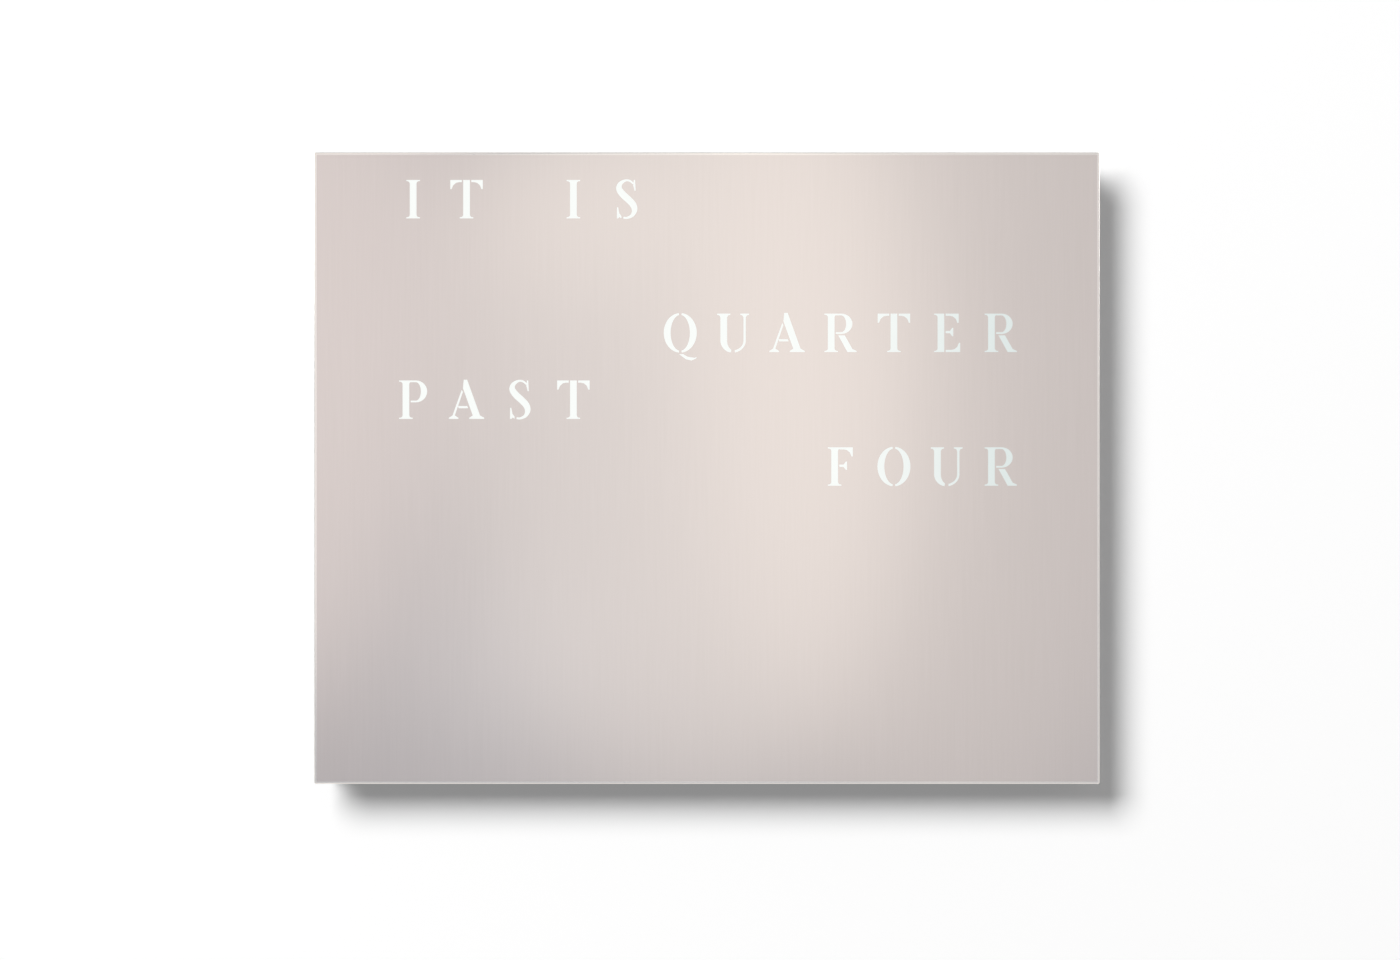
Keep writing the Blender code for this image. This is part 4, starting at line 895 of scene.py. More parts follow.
plug_y, plug_size = middle.y - PLUG_SHIFT, (PLUG_DEPTH, PLUG_LENGTH, PLUG_HEIGHT)
shells = [
    plug(
        (middle.x, low.y + PLUG_DEPTH / 2, face), (PLUG_LENGTH, PLUG_DEPTH, PLUG_HEIGHT),
        (0, -1, 0),
    ),
    plug((high.x - PLUG_DEPTH / 2, plug_y, face), plug_size, (1, 0, 0)),
    plug((low.x + PLUG_DEPTH / 2, plug_y, face), plug_size, (-1, 0, 0)),
]
pin_socket = block(
    "pin_socket", (middle.x, high.y - HEADER / 2, face),
    (PIN_COUNT * PIN_PITCH, HEADER, 2 * HEADER), CHIP_EDGE,
)
carve(pin_socket, *(
    block(
        "pin_hole", (x, high.y + HEADER / 4, face + HEADER / 2 - PIN_SIDE),
        (2 * PIN_SIDE, 1.5 * HEADER, 2 * PIN_SIDE),
    ) for x in spread(middle.x, PIN_COUNT, PIN_PITCH)
))
chip = coated(block("chip", (middle.x, plug_y, face), CHIP, CHIP_EDGE), black_epoxy)
small = [
    chip_resistor(x, y, face)
    for count, y in ((5, radio_low - PARTS_BELOW_RADIO), (4, plug_y - PARTS_BELOW_CHIP))
    for x in spread(middle.x, count, PART_PITCH)
]
fit_lots("controller_board", {
    "controller_circuit_board": ([base, radio_pcb], "green_board"),
    "controller_tinned_parts": (
        rings + [shield, lid] + [end for parts in small for end in parts[1:]], "nickel_plate",
    ),
    "controller_aerial": (copper, "brushed_metal"),
    "controller_plugs": (shells, "white_plastic"),
    "controller_black_parts": (
        [canister, coil, coated(pin_socket, black_epoxy), chip] + [parts[0] for parts in small],
        "black_moulding",
    ),
})


# Clock module and its cell. A blue board plugged into the controller keeps the time, and a button
# cell in a moulded cup runs it when the supply is off. The cell's positive face is up.

CUP_RADIUS, CUP_BORE, CUP_FLOOR, CUP_EDGE = 0.00755, 0.00655, 0.0008, 0.0002
NOTCH_RADIUS, NOTCH_LENGTH = 0.0018, 0.006
CELL_RADIUS, CELL_STEP, CELL_EDGE = 0.00625, 0.0005, 0.0002
PLUS_REACH, PLUS_WIDTH, PLUS_DEPTH = 0.0015, 0.0004, 0.00008
CHIP_LENGTH, CHIP_WIDTH, CHIP_HEIGHT, CHIP_GAP = 0.0075, 0.0040, 0.0018, 0.0006
LEAD_COUNT, LEAD_PITCH, LEAD_WIDTH = 5, 0.00127, 0.0004
PIN_REACH, CLOCK_PART_OFFSET = 0.0037, 0.0064

blue_resist = circuit("blue_solder_resist", 0x1E3F78, 0x2A5090)
low, high = bench("clock_module")
low.y += PIN_REACH
middle, half = (low + high) / 2, (high - low) / 2
face = low.z + BOARD_THICKNESS
pegs = [
    (middle.x + way * (half.x - PEG_INSET), middle.y + way * (half.y - PEG_INSET))
    for way in (-1, 1)
]
base, rings = pegged_board("clock", low, (high.x, high.y, face), pegs, blue_resist)
cell_low, cell_high = bench("coin_cell")
cell_x, cell_y = (cell_low.x + cell_high.x) / 2, (cell_low.y + cell_high.y) / 2
cup_top = high.z - face
cup = turned("cup", [
    (0, 0), (CUP_RADIUS, 0), (CUP_RADIUS, cup_top - CUP_EDGE), (CUP_RADIUS - CUP_EDGE, cup_top),
    (CUP_BORE + CUP_EDGE, cup_top), (CUP_BORE, cup_top - CUP_EDGE), (CUP_BORE, CUP_FLOOR),
    (0, CUP_FLOOR),
], (cell_x, cell_y, face), (0, 0, 1), 48)
carve(cup, drum(
    "finger_notch", (cell_x + CUP_RADIUS, cell_y, high.z + CUP_EDGE), NOTCH_RADIUS, NOTCH_LENGTH,
    "across",
))
chip_y = low.y + 2 * HEADER + CHIP_WIDTH / 2 + CHIP_GAP
chip = block(
    "chip", (middle.x, chip_y, face + CHIP_EDGE),
    (CHIP_LENGTH, CHIP_WIDTH, CHIP_HEIGHT - CHIP_EDGE), CHIP_EDGE,
)
header = block(
    "header", (middle.x, low.y + HEADER / 2, face), (PIN_COUNT * PIN_PITCH, HEADER, HEADER),
    CHIP_EDGE,
)
pins = [
    coated(block(
        "pin", (x, low.y + HEADER / 4 - PIN_REACH / 2, face + (HEADER - PIN_SIDE) / 2),
        (PIN_SIDE, PIN_REACH + HEADER / 2, PIN_SIDE), CHIP_EDGE,
    ), gold) for x in spread(middle.x, PIN_COUNT, PIN_PITCH)
]
chip_leads = [
    coated(block(
        "chip_leads", (x, chip_y, face), (LEAD_WIDTH, CHIP_WIDTH + 2 * LEAD_WIDTH, LEAD_WIDTH),
    ), tin) for x in spread(middle.x, LEAD_COUNT, LEAD_PITCH)
]
small = [chip_resistor(middle.x + side * CLOCK_PART_OFFSET, chip_y, face) for side in (-1, 1)]
fit_lots("clock_module", {
    "clock_circuit_board": ([base], "blue_board"),
    "clock_tinned_parts": (
        rings + pins + chip_leads + [end for parts in small for end in parts[1:]],
        "nickel_plate",
    ),
    "clock_black_parts": (
        [coated(part, black_epoxy) for part in (cup, chip, header)]
        + [parts[0] for parts in small],
        "black_moulding",
    ),
})

thickness, step_radius = cell_high.z - cell_low.z, CELL_RADIUS - CELL_STEP
cell = turned("button_cell", [
    (0, 0), (step_radius - CELL_EDGE, 0), (step_radius, CELL_EDGE), (step_radius, CELL_STEP),
    (CELL_RADIUS - CELL_EDGE, CELL_STEP), (CELL_RADIUS, CELL_STEP + CELL_EDGE),
    (CELL_RADIUS, thickness - CELL_EDGE), (CELL_RADIUS - CELL_EDGE, thickness), (0, thickness),
], (cell_x, cell_y, cell_low.z), (0, 0, 1), 64)
carve(cell, *cross(
    "plus", (cell_x, cell_y, cell_high.z - PLUS_DEPTH), PLUS_REACH, PLUS_WIDTH, 2 * PLUS_DEPTH,
))
# Cell cans are nickel over steel, drawn bright, with a fine brushing from handling.
coated(cell, plated("nickel_plated_cell_can", 0xC3C4C4, 0.24))
fit(cell, "casing", "coin_cell")


# Supply socket and its nut. A panel socket in black nylon with a plated centre pin, clamped in
# the bottom rail by a hexagon nut from inside. Its solder tags point up into the case.

SOCKET_FACE, SOCKET_TAIL = 0.0019, -0.0145
SOCKET_RADIUS, SOCKET_FLANGE, SOCKET_BORE, SOCKET_EDGE = 0.0039, 0.0055, 0.0030, 0.0004
SOCKET_ROOT, SOCKET_PITCH, SOCKET_SEAT = 0.00365, 0.00075, 0.0003
BORE_FLOOR, PIN_TIP = -0.0076, 0.0009
CENTRE_PIN, PIN_ROUND = 0.00105, 0.0004
TAG_OFFSET, TAG_THICKNESS, TAG_WIDTH, TAG_LENGTH, TAG_HOLE = 0.0022, 0.0006, 0.0020, 0.0035, 0.0005
NUT_ACROSS, NUT_NEAR, NUT_THICKNESS, NUT_BORE, NUT_CORNER = 0.011, -0.0023, 0.0025, 0.0042, 0.0006

low, high = bench("dc_socket")
x, depth = (low.x + high.x) / 2, (low.z + high.z) / 2
mouth = (x, low.y + SOCKET_FACE, depth)
profile = [(0, SOCKET_TAIL), (SOCKET_ROOT, SOCKET_TAIL)]
turn_at = SOCKET_TAIL
while turn_at < SOCKET_SEAT - 2 * SOCKET_PITCH:
    profile += [
        (SOCKET_RADIUS, turn_at + SOCKET_PITCH / 2), (SOCKET_ROOT, turn_at + SOCKET_PITCH),
    ]
    turn_at += SOCKET_PITCH
profile += [
    (SOCKET_ROOT, SOCKET_SEAT), (SOCKET_FLANGE - SOCKET_EDGE / 2, SOCKET_SEAT),
    (SOCKET_FLANGE, SOCKET_SEAT + SOCKET_EDGE / 2), (SOCKET_FLANGE, SOCKET_FACE - SOCKET_EDGE),
    (SOCKET_FLANGE - SOCKET_EDGE, SOCKET_FACE), (SOCKET_BORE + SOCKET_EDGE, SOCKET_FACE),
    (SOCKET_BORE, SOCKET_FACE - SOCKET_EDGE), (SOCKET_BORE, BORE_FLOOR), (0, BORE_FLOOR),
]
# Unfilled nylon comes out of the tool smoother and blacker than the corner blocks' filled one.
satin_nylon = moulded("satin_black_nylon", 0x1E1E20, 0.36, 0.0007, 0.00002)
shell = coated(turned("supply_socket", profile, mouth, (0, -1, 0), 48), satin_nylon)
fit(shell, "casing", "dc_socket")
contacts = [turned("centre_pin", [
    (0, BORE_FLOOR - SOCKET_EDGE), (CENTRE_PIN, BORE_FLOOR - SOCKET_EDGE),
    (CENTRE_PIN, PIN_TIP - PIN_ROUND), (CENTRE_PIN - PIN_ROUND / 3, PIN_TIP - PIN_ROUND / 3),
    (CENTRE_PIN - PIN_ROUND, PIN_TIP), (0, PIN_TIP),
], mouth, (0, -1, 0))]
tag_y = mouth[1] - SOCKET_TAIL
for tag_x in (x - TAG_OFFSET, x + TAG_OFFSET):
    tag = block(
        "solder_tag", (tag_x, tag_y + TAG_LENGTH / 2, depth - TAG_WIDTH / 2),
        (TAG_THICKNESS, TAG_LENGTH, TAG_WIDTH), CHIP_EDGE,
    )
    contacts.append(carve(tag, drum(
        "tag_hole", (tag_x, tag_y + TAG_LENGTH - 2 * TAG_HOLE, depth), TAG_HOLE,
        4 * TAG_THICKNESS, "across", sides=16,
    )))
contact = joined("socket_contacts", [coated(part, nickel) for part in contacts])
fit(contact, "casing", "dc_socket")

nut_y, nut_radius = mouth[1] - NUT_NEAR, NUT_ACROSS / math.sqrt(3)
blank = ((x, nut_y + NUT_THICKNESS / 2, depth), nut_radius, NUT_THICKNESS, "up")
nut = carve(
    drum("hexagon_nut", *blank, sides=6), drum("turned_blank", *blank, edge=NUT_CORNER, sides=64),
    operation="INTERSECT",
)
carve(nut, drum("nut_bore", (x, nut_y, depth), NUT_BORE, 4 * NUT_THICKNESS, "up", sides=48))
fit(coated(soften(nut, CHIP_EDGE), nickel), "casing", "dc_socket_nut")


# Setting buttons. Turned aluminium caps with a dished face slide in the left rail, guided by a
# moulded holder. Its posts carry a board with a switch under each cap.

CAP_RADIUS, CAP_PROUD, CAP_CROWN, CAP_DISH = 0.0030, 0.0016, 0.0004, 0.0003
CAP_FLANGE_RADIUS, CAP_FLANGE, CAP_STEM = 0.0042, 0.0010, 0.0016
FLANGE_BACK, STEM_TIP = 0.0023, 0.0074
SWITCH_SIDE, SWITCH_TOP, SWITCH_PLATE = 0.0060, 0.0071, 0.0004
SWITCH_WELL, WELL_LENGTH = 0.0020, 0.0034
SWITCH_FOOT, SWITCH_BACK = 0.0106, 0.0122
POST_HOLE, POST_INSET, HOLE_LENGTH = 0.0012, 0.0026, 0.006
SWITCH_PLUG_LOW, HOLDER_EDGE = 0.0052, 0.0004

finished(
    "button_holder", "moulded_button_holder", HOLDER_EDGE, filled_nylon, "casing",
)
left_face = bench("frame_rail_left")[0].x
low, high = bench("button_board")
middle, half = (low + high) / 2, (high - low) / 2
cap_profile = [
    (0, STEM_TIP), (CAP_STEM - CHIP_EDGE, STEM_TIP), (CAP_STEM, STEM_TIP - CHIP_EDGE),
    (CAP_STEM, FLANGE_BACK + CAP_FLANGE), (CAP_FLANGE_RADIUS, FLANGE_BACK + CAP_FLANGE),
    (CAP_FLANGE_RADIUS, FLANGE_BACK), (CAP_RADIUS, FLANGE_BACK),
    (CAP_RADIUS, CAP_CROWN - CAP_PROUD), (CAP_RADIUS - CAP_CROWN / 3, CAP_CROWN / 3 - CAP_PROUD),
    (CAP_RADIUS - CAP_CROWN, -CAP_PROUD), (CAP_RADIUS - 2 * CAP_CROWN, -CAP_PROUD),
    (CAP_RADIUS / 2, CAP_DISH * 0.7 - CAP_PROUD), (CAP_RADIUS / 4, CAP_DISH * 0.95 - CAP_PROUD),
    (0, CAP_DISH - CAP_PROUD),
]
# A fine turned finish runs round each cap before it is anodised.
turned_aluminium = plated("turned_anodised_aluminium", 0xCDCED0, 0.3)
boxes, lids = [], []
for name in ("hour", "minute", "brightness"):
    node = f"{name}_button_cap"
    cap_low, cap_high = bench(node)
    y = (cap_low.y + cap_high.y) / 2
    place = (left_face, y, middle.z)
    cap = coated(
        turned(f"turned_{name}_button", cap_profile, place, (1, 0, 0), 48), turned_aluminium,
    )
    fit(cap, f"{name}_button", node)
    plate = SWITCH_TOP + SWITCH_PLATE
    for top, foot, material, lot in (
        (plate, SWITCH_FOOT, black_epoxy, boxes), (SWITCH_TOP, plate, steel_can, lids),
    ):
        part = block(
            "switch", (left_face + (top + foot) / 2, y, middle.z - SWITCH_SIDE / 2),
            (foot - top, SWITCH_SIDE, SWITCH_SIDE), CHIP_EDGE,
        )
        well = drum(
            "well", (left_face + top, y, middle.z), SWITCH_WELL, WELL_LENGTH, "across",
        )
        lot.append(coated(carve(part, well), material))
base = cuboid(
    "switch_board", (left_face + SWITCH_FOOT, low.y, low.z),
    (left_face + SWITCH_BACK, high.y, high.z), BOARD_EDGE,
)
carve(base, *(
    drum(
        "post_hole", (
            left_face + SWITCH_FOOT, middle.y + up * (half.y - POST_INSET),
            middle.z + out * (half.z - POST_INSET),
        ), POST_HOLE, HOLE_LENGTH, "across", sides=20,
    ) for up in (-1, 1) for out in (-1, 1)
))
switch_plug = plug(
    (
        left_face + SWITCH_BACK + PLUG_HEIGHT / 4, low.y + SWITCH_PLUG_LOW + PLUG_DEPTH / 2,
        middle.z - PLUG_LENGTH / 2,
    ), (PLUG_HEIGHT / 2, PLUG_DEPTH, PLUG_LENGTH), (0, -1, 0),
)
fit_lots("button_board", {
    "switch_circuit_board": ([coated(base, green_resist)], "green_board"),
    "switch_bodies": (boxes, "black_moulding"),
    "switch_lids": (lids, "nickel_plate"),
    "switch_plug": ([switch_plug], "white_plastic"),
})


# Leads inside the case, in black PVC. One brings the supply from the socket to the controller,
# one feeds the first strip, and one comes from the switch board. Each is plugged in at both ends.

LEADS = {
    "feed_lead": (0.0015, [
        (-0.21046, -0.17495, 0.01415), (-0.21046, -0.16995, 0.01415), (-0.22110, -0.15255, 0.01040),
        (-0.22110, -0.14755, 0.01040),
    ]),
    "supply_lead": (0.0012, [
        (-0.21108, -0.12480, 0.01040), (-0.20941, -0.12480, 0.01040), (-0.20548, -0.11980, 0.01040),
        (-0.20548, 0.00000, 0.01415), (-0.20548, 0.14680, 0.01415), (-0.21048, 0.16180, 0.01060),
        (-0.20928, 0.16680, 0.00810), (-0.20428, 0.16680, 0.00810),
    ]),
    "button_lead": (0.0009, [
        (-0.23113, -0.12480, 0.01040), (-0.23280, -0.12480, 0.01040), (-0.23363, -0.11980, 0.01040),
        (-0.23363, -0.06835, 0.01415), (-0.22553, -0.03945, 0.01415), (-0.22553, -0.03445, 0.01415),
    ]),
}
LEAD_STEPS = 12


def eased(places, steps):
    """Points on a smooth curve through all places but the first and the last."""
    line = []
    for a, b, c, d in zip(places, places[1:], places[2:], places[3:]):
        for t in (step / steps for step in range(steps)):
            line.append(0.5 * (
                2 * b + (c - a) * t + (2 * a - 5 * b + 4 * c - d) * t ** 2
                + (3 * b - a - 3 * c + d) * t ** 3
            ))
    return [*line, places[-2]]


sheath = moulded("black_pvc_sheath", 0x1B1B1C, 0.46, 0.0010, 0.00005, 1.53)
for name, (radius, places) in LEADS.items():
    places = [Vector(place) for place in places]
    straight_ends = [2 * places[0] - places[1], *places, 2 * places[-1] - places[-2]]
    lead_piece = wire(f"sheathed_{name}", eased(straight_ends, LEAD_STEPS), radius, 4)
    fit(coated(lead_piece, sheath), "casing", name)


# Diffuser and letter mask, bonded behind the front. The diffuser is opal acrylic, which spreads
# each lamp's light over its letter, and the mask is a printed black film.

SHEET_EDGE = 0.0001
OPAL_CLOUDS, OPAL_GLOSS = 12.0, (0.36, 0.48)

# Opal acrylic is milky and lets some light into itself.
opal, tree, place = surface(
    "opal_acrylic", 0xF1F2EE, Roughness=0.42, IOR=1.49, Subsurface_Weight=0.25,
)
cloud = {"Vector": place, "Scale": OPAL_CLOUDS, "Detail": 3.0}
vary(tree, add_node(tree, "ShaderNodeTexNoise", cloud), gloss=OPAL_GLOSS)
# Screen ink on polyester film is a dense black with a faint weave from the mesh.
ink = moulded("screen_printed_black_film", 0x1B1B1D, 0.45, 0.0006, 0.00003)
finished("diffuser_sheet", "opal_diffuser", SHEET_EDGE, opal, "front", 1)
finished("letter_mask", "printed_letter_mask", SHEET_EDGE, ink, "front", 1)


# Strikes. Zinc-plated steel discs bonded behind the panel, which the magnets hold. Each has a
# small dimple in its middle from the punch.

STRIKE_RIM = 0.0002
DIMPLE_RADIUS = 0.0012
DIMPLE_DEPTH = 0.0003


def edit_some(piece, kind, chosen):
    """Open a piece in edit mode with only some of its edges or faces selected."""
    edit(piece)
    bpy.ops.mesh.select_all(action="DESELECT")
    close()
    for part in getattr(piece.data, kind):
        part.select = chosen(part)
    bpy.ops.object.mode_set(mode="EDIT")


# Zinc plating is a cool mid grey with cloudy patches.
zinc = plated("zinc_plating", 0xB9BBBD, 0.32)
for corner in CORNERS:
    low, high = bench(f"strike_{corner}")
    radius = (high.x - low.x) / 2
    strike = drum(
        f"plated_strike_{corner}", (low + high) / 2, radius, high.z - low.z, edge=STRIKE_RIM,
        sides=DISC_SIDES,
    )
    least = math.pi * radius ** 2 / 2
    edit_some(strike, "polygons", lambda face: face.normal.y > 0.99 and face.area > least)
    bpy.ops.mesh.inset(thickness=radius - STRIKE_RIM - DIMPLE_RADIUS)
    bpy.ops.mesh.inset(thickness=DIMPLE_RADIUS / 2, depth=-DIMPLE_DEPTH)
    close()
    fit(coated(strike, zinc), "front", f"strike_{corner}")


# Front panel. Stainless sheet, 2 mm, brushed upright and lacquered warm grey, then laser cut, so
# that its slightly broken edges are bright. It hides the letters until a lamp behind is lit.

PANEL_CORNER = 0.0008
PANEL_EDGE = 0.0006
BACK_EDGE = 0.00015
BRUSH_WIDTH = 0.0009
BRUSH_LENGTH = 0.05
BRUSH_STRENGTH, BRUSH_DEPTH, BRUSH_GLOSS = 0.1, 0.00002, (0.26, 0.34)
STRIATION, STRIATION_DEPTH = 0.0004, 0.00001
STRAIGHT_ON = 0.999

# The lacquer's tone follows the brushing a little, and so does its gloss.
panel_steel, tree, place = surface(
    "brushed_lacquered_steel", 0xD9CFC9, Metallic=1.0, Roughness=0.30,
)
brush = add_node(tree, "ShaderNodeMapping", {
    "Vector": place, "Scale": (1 / BRUSH_WIDTH, 1 / BRUSH_WIDTH, 1 / BRUSH_LENGTH),
})
lines = add_node(tree, "ShaderNodeTexNoise", {"Vector": brush, "Scale": 1.0, "Detail": 5.0})
tones = (linear(0xD6CCC6), linear(0xDBD1CC))
vary(tree, lines, BRUSH_GLOSS, (BRUSH_STRENGTH, BRUSH_DEPTH), tones)
# Bare cut steel is paler than the lacquered face, with fine striations across its thickness.
cut_steel = drawn_metal(
    "bright_cut_steel", 0xF3EDE7, 0.24, (1 / STRIATION, 1 / PANEL_EDGE, 1 / STRIATION),
    STRIATION_DEPTH,
)

panel = cuboid("brushed_front_panel", *bench("front_panel"))
for chosen, width, segments in (
    (lambda a, b: abs(a.y - b.y) > MERGE, PANEL_CORNER, 4),
    (lambda a, b: max(a.y, b.y) < panel_low.y + MERGE, PANEL_EDGE, 3),
    (lambda a, b: min(a.y, b.y) > panel_high.y - MERGE, BACK_EDGE, 2),
):
    edit_some(panel, "edges", lambda edge: chosen(
        *(panel.data.vertices[end].co for end in edge.vertices)
    ))
    bpy.ops.mesh.bevel(offset=width, segments=segments)
    close()
smooth(panel)
panel.data.materials.append(panel_steel)
panel.data.materials.append(cut_steel)
for face in panel.data.polygons:
    face.material_index = int(abs(face.normal.y) < STRAIGHT_ON)
fit(panel, "front", "front_panel")


# Lit words. Where a lamp is lit, its letter glows cool white through the panel. The letters are
# a plain roman stencil of this clock's own, each drawn in shares of its height, on the matrix.

LETTER_HEIGHT = 0.0240
LETTER_LIFT = 0.0010
GLOW_DEPTH = 0.0002
GLOW_PROUD = 0.00003
STEM = 0.175
FINE = 0.058
SERIF = 0.09
BRACKET = 0.07
BREAK = 0.035
LAMP_STRENGTH, LETTER_STRENGTH = 110.0, 0.97
GLOW_CLOUDS, CLOUD_SHARE = 60.0, 0.12
FADE_FROM, FADE_TO = 0.088, 0.190


def glowing(name, colour, bright, faded, strength):
    """A face that gives light, slightly clouded, and less of it far from the feed."""
    material, tree, place = surface(
        name, colour, Roughness=0.5, Emission_Color=linear(bright), Emission_Strength=strength,
    )
    cloud = add_node(
        tree, "ShaderNodeTexNoise", {"Vector": place, "Scale": GLOW_CLOUDS, "Detail": 2.0},
    )
    across = add_node(tree, "ShaderNodeSeparateXYZ", {0: place}).outputs["X"]
    fade = add_node(tree, "ShaderNodeMapRange", {0: across, 1: FADE_FROM, 2: FADE_TO})
    share = add_node(
        tree, "ShaderNodeMath", {0: cloud, 1: CLOUD_SHARE, 2: fade}, operation="MULTIPLY_ADD",
        use_clamp=True,
    )
    vary(tree, share, tones=(linear(bright), linear(faded)), toned="Emission Color")
    return material


# Light through the letters is near white. The supply drops along the strips, so those at the far
# right glow less and look cooler. At the lamp itself the light is far stronger.
glow = glowing("light_through_letters", 0x20201F, 0xF9FCF9, 0xDDE6E4, LETTER_STRENGTH)
lit_phosphor = glowing("lit_phosphor_silicone", 0xE6C65A, 0xFDFEFF, 0xEEF4F6, LAMP_STRENGTH)


def stroke(skeleton):
    """An outline round (x, y, half width) points, joined by a smooth curve."""
    line = eased([Vector(point) for point in (skeleton[0], *skeleton, skeleton[-1])], 5)
    left, right = [], []
    for index, (x, y, half) in enumerate(line):
        slope = line[min(index + 1, len(line) - 1)] - line[max(index - 1, 0)]
        slope = slope.to_2d().normalized()
        left.append((x - slope.y * half, y + slope.x * half))
        right.append((x + slope.y * half, y - slope.x * half))
    return left + right[::-1]


def stem(x, high=True, right=SERIF):
    """An upright stroke with bracketed serifs, centred on x, with or without those on top."""
    outline = []
    foot, head = (True, 0.0, 1), (high, 1.0, -1)
    for side, reach, ends in ((1, right, (foot, head)), (-1, SERIF, (head, foot))):
        edge = x + side * STEM / 2
        for order, (wanted, level, up) in enumerate(ends):
            if not wanted:
                outline.append((edge, level))
                continue
            tip = edge + side * reach
            serif = [(tip, level), (tip, level + up * FINE / 2)] + [
                (edge + side * reach * (1 - t) ** 2, level + up * (FINE / 2 + BRACKET * t ** 2))
                for t in (0.35, 0.7, 1.0)
            ]
            outline += serif[::-1] if order else serif
    return outline


def arm(x, reach):
    """A thin level arm along the foot of a letter, which ends in a flare that turns up."""
    tip = x + reach
    return [
        (x, 0.0), (tip, 0.0), (tip, 0.24), (tip - 0.035, 0.24), (tip - 0.075, 0.14),
        (tip - 0.15, 0.075), (tip - 0.23, FINE), (x, FINE),
    ]


def top_arm(x, reach):
    """The same arm along the top of a letter, its flare turned down."""
    return [(px, 1 - py) for px, py in arm(x, reach)]


def middle_arm(x):
    """The short middle arm, with its small wedge."""
    return [
        (x, 0.49), (x + 0.11, 0.49), (x + 0.17, 0.41), (x + 0.20, 0.41), (x + 0.20, 0.63),
        (x + 0.17, 0.63), (x + 0.11, 0.55), (x, 0.55),
    ]


def bowl(x, low):
    """The round half of a P or an R, right of its stem."""
    middle, reach = (1 + low) / 2, (1 - low) / 2
    outer = bow(x + 0.14, middle, 0.29, reach, 90, -90)
    inner = bow(x + 0.14, middle, 0.125, reach - FINE * 0.8, -90, 90)
    return [(x, 1.0), *outer, (x, low), (x, low + FINE * 0.8), *inner, (x, 1 - FINE * 0.8)]


def crescents():
    """The two halves of an O, parted at the top and bottom."""
    return [
        bow(0.43, 0.5, 0.43, 0.515, 95, 265, 20) + bow(0.43, 0.5, 0.25, 0.465, 263, 97, 20),
        bow(0.43, 0.5, 0.43, 0.515, -85, 85, 20) + bow(0.43, 0.5, 0.25, 0.465, 83, -83, 20),
    ]


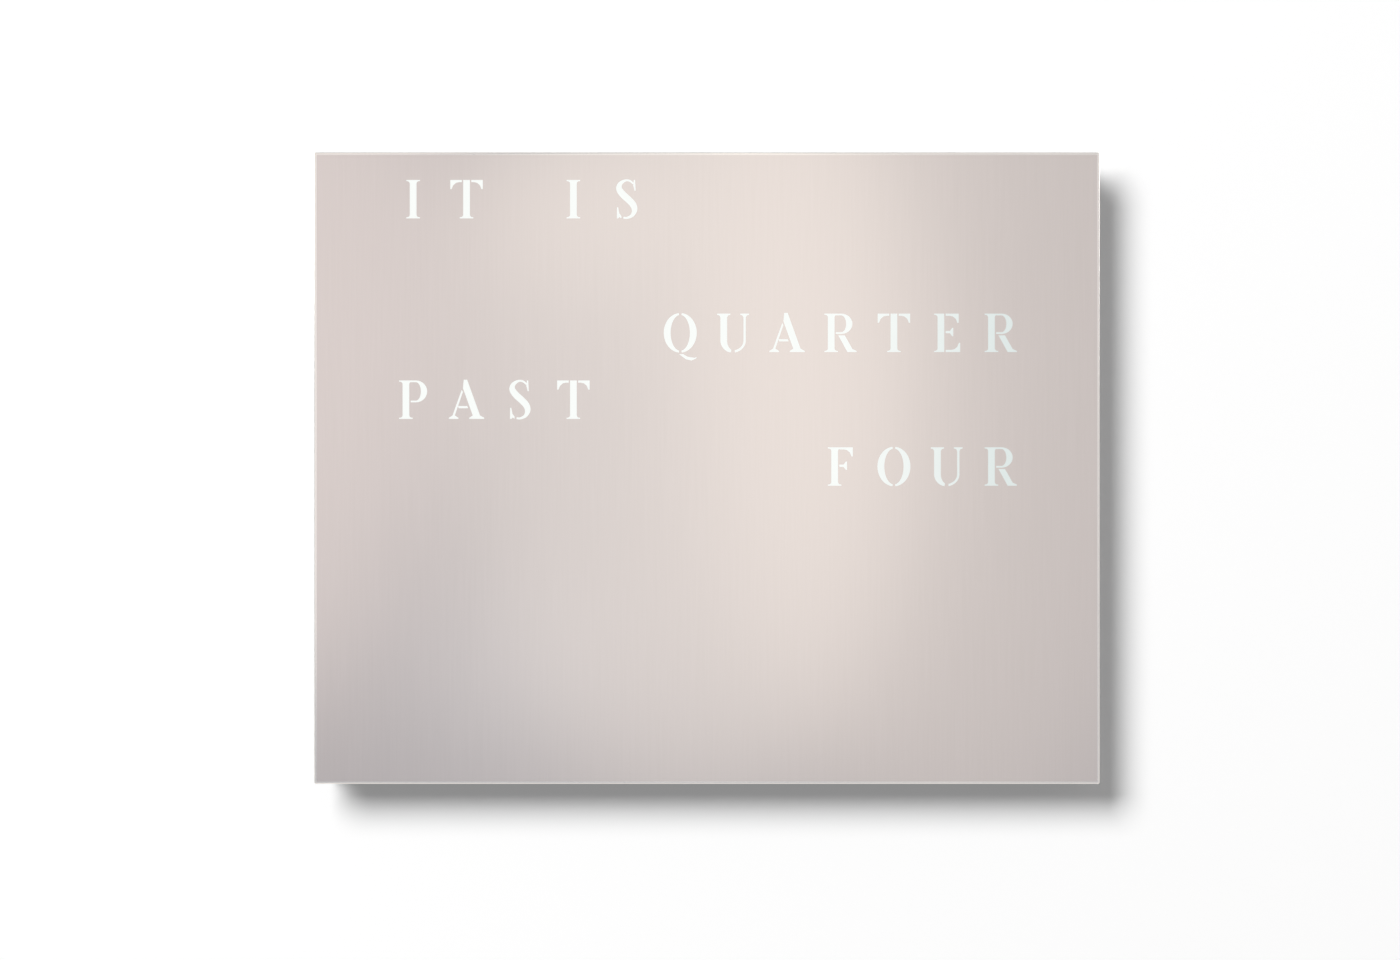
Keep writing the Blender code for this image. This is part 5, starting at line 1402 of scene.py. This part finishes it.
edge_x = SERIF + STEM + BREAK
side_stem = SERIF + STEM / 2
bar_x = 0.43 + STEM / 2 + BREAK
LETTERS = {
    "I": (0.355, [stem(0.1775)]),
    "T": (0.86, [
        stem(0.43, high=False), [(0.86 - px, py) for px, py in top_arm(bar_x, 0.3)][::-1],
        top_arm(bar_x, 0.3),
    ]),
    "S": (0.60, [
        stroke([
            (0.47, 0.90, 0.022), (0.38, 0.975, 0.026), (0.26, 0.985, 0.03), (0.13, 0.90, 0.055),
            (0.10, 0.77, 0.078), (0.19, 0.63, 0.088), (0.34, 0.49, 0.088), (0.46, 0.36, 0.085),
            (0.50, 0.22, 0.072), (0.44, 0.08, 0.045), (0.31, 0.015, 0.028), (0.21, 0.02, 0.026),
        ]),
        [(0.48, 1.0), (0.515, 1.0), (0.53, 0.72), (0.50, 0.72), (0.465, 0.86)],
        [
            (0.045, 0.29), (0.075, 0.29), (0.105, 0.13), (0.16, 0.06), (0.16, 0.005),
            (0.105, 0.035), (0.075, 0.0), (0.04, 0.0),
        ],
    ]),
    "Q": (0.86, crescents() + [[
        (0.40, -0.055), (0.50, -0.05), (0.62, -0.12), (0.80, -0.15), (0.86, -0.13),
        (0.84, -0.17), (0.72, -0.22), (0.58, -0.19),
    ]]),
    "U": (0.86, [
        [
            (0.0, 1.0), (0.0, 0.97), (0.06, 0.95), (0.085, 0.90),
            *bow(0.40, 0.30, 0.315, 0.315, 180, 262, 12),
            *bow(0.42, 0.30, 0.16, 0.25, 252, 180, 10),
            (0.26, 0.90), (0.285, 0.95), (0.345, 0.97), (0.345, 1.0),
        ],
        [
            (0.60, 1.0), (0.60, 0.97), (0.66, 0.95), (0.685, 0.90),
            *bow(0.40, 0.30, 0.285, 0.255, 0, -78, 12), *bow(0.40, 0.30, 0.345, 0.315, -80, 0, 12),
            (0.745, 0.90), (0.77, 0.95), (0.83, 0.97), (0.83, 1.0),
        ],
    ]),
    "A": (0.92, [
        [
            (0.385, 1.02), (0.475, 1.02), (0.81, 0.09), (0.92, 0.03), (0.92, 0.0), (0.53, 0.0),
            (0.53, 0.03), (0.62, 0.09), (0.365, 0.80),
        ],
        [
            (0.335, 0.76), (0.365, 0.70), (0.155, 0.09), (0.25, 0.03), (0.25, 0.0), (0.0, 0.0),
            (0.0, 0.03), (0.095, 0.09),
        ],
        [(0.235, 0.335), (0.235 + FINE / 3, 0.335 - FINE), (0.50, 0.335 - FINE), (0.48, 0.335)],
    ]),
    "R": (0.84, [
        stem(side_stem), bowl(edge_x, 0.47),
        [
            (edge_x + 0.06, 0.435), (edge_x + 0.23, 0.435), (0.73, 0.08), (0.84, 0.03),
            (0.84, 0.0), (0.60, 0.0),
        ],
    ]),
    "P": (0.73, [stem(side_stem), bowl(edge_x, 0.43)]),
    "E": (0.69, [
        stem(side_stem, right=0.0), top_arm(edge_x, 0.34), middle_arm(edge_x), arm(edge_x, 0.38),
    ]),
    "F": (0.66, [stem(side_stem), top_arm(edge_x, 0.35), middle_arm(edge_x)]),
    "O": (0.86, crescents()),
}
WORDS = {"it": (0, 0), "is": (0, 3), "quarter": (2, 5), "past": (3, 0), "four": (4, 8)}

column_places, row_places = spread(0, COLUMNS, COLUMN_PITCH), spread(0, ROWS, -ROW_PITCH)
lit_level = lamp_top - WINDOW_DEPTH / 2
lit = []
for word, (row, first) in WORDS.items():
    corners, faces = [], []
    line_y = row_places[row] + LETTER_LIFT - LETTER_HEIGHT / 2
    for lamp_x, letter in zip(column_places[first:], word.upper()):
        width, outlines = LETTERS[letter]
        cell_x = lamp_x - width * LETTER_HEIGHT / 2
        lit.append(coated(drum(
            "lit_phosphor", (lamp_x, row_places[row], lit_level), WINDOW_RADIUS - LAMP_EDGE,
            2 * GLOW_PROUD, sides=20,
        ), lit_phosphor))
        for outline in outlines:
            faces.append(range(len(corners), len(corners) + len(outline)))
            corners += [
                room(
                    cell_x + x * LETTER_HEIGHT, line_y + y * LETTER_HEIGHT,
                    GLOW_PROUD - panel_low.y,
                ) for x, y in outline
            ]
    mesh = bpy.data.meshes.new(word)
    mesh.from_pydata(corners, [], faces)
    drawn = bpy.data.objects.new(f"lit_word_{word}", mesh)
    bpy.context.collection.objects.link(drawn)
    edit(drawn)
    bpy.ops.mesh.extrude_region_move(TRANSFORM_OT_translate={"value": (0, GLOW_DEPTH, 0)})
    bpy.ops.mesh.select_all(action="SELECT")
    bpy.ops.mesh.normals_make_consistent(inside=False)
    close()
    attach(coated(drawn, glow), "front")
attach(joined("lit_lamps", lit), "casing")
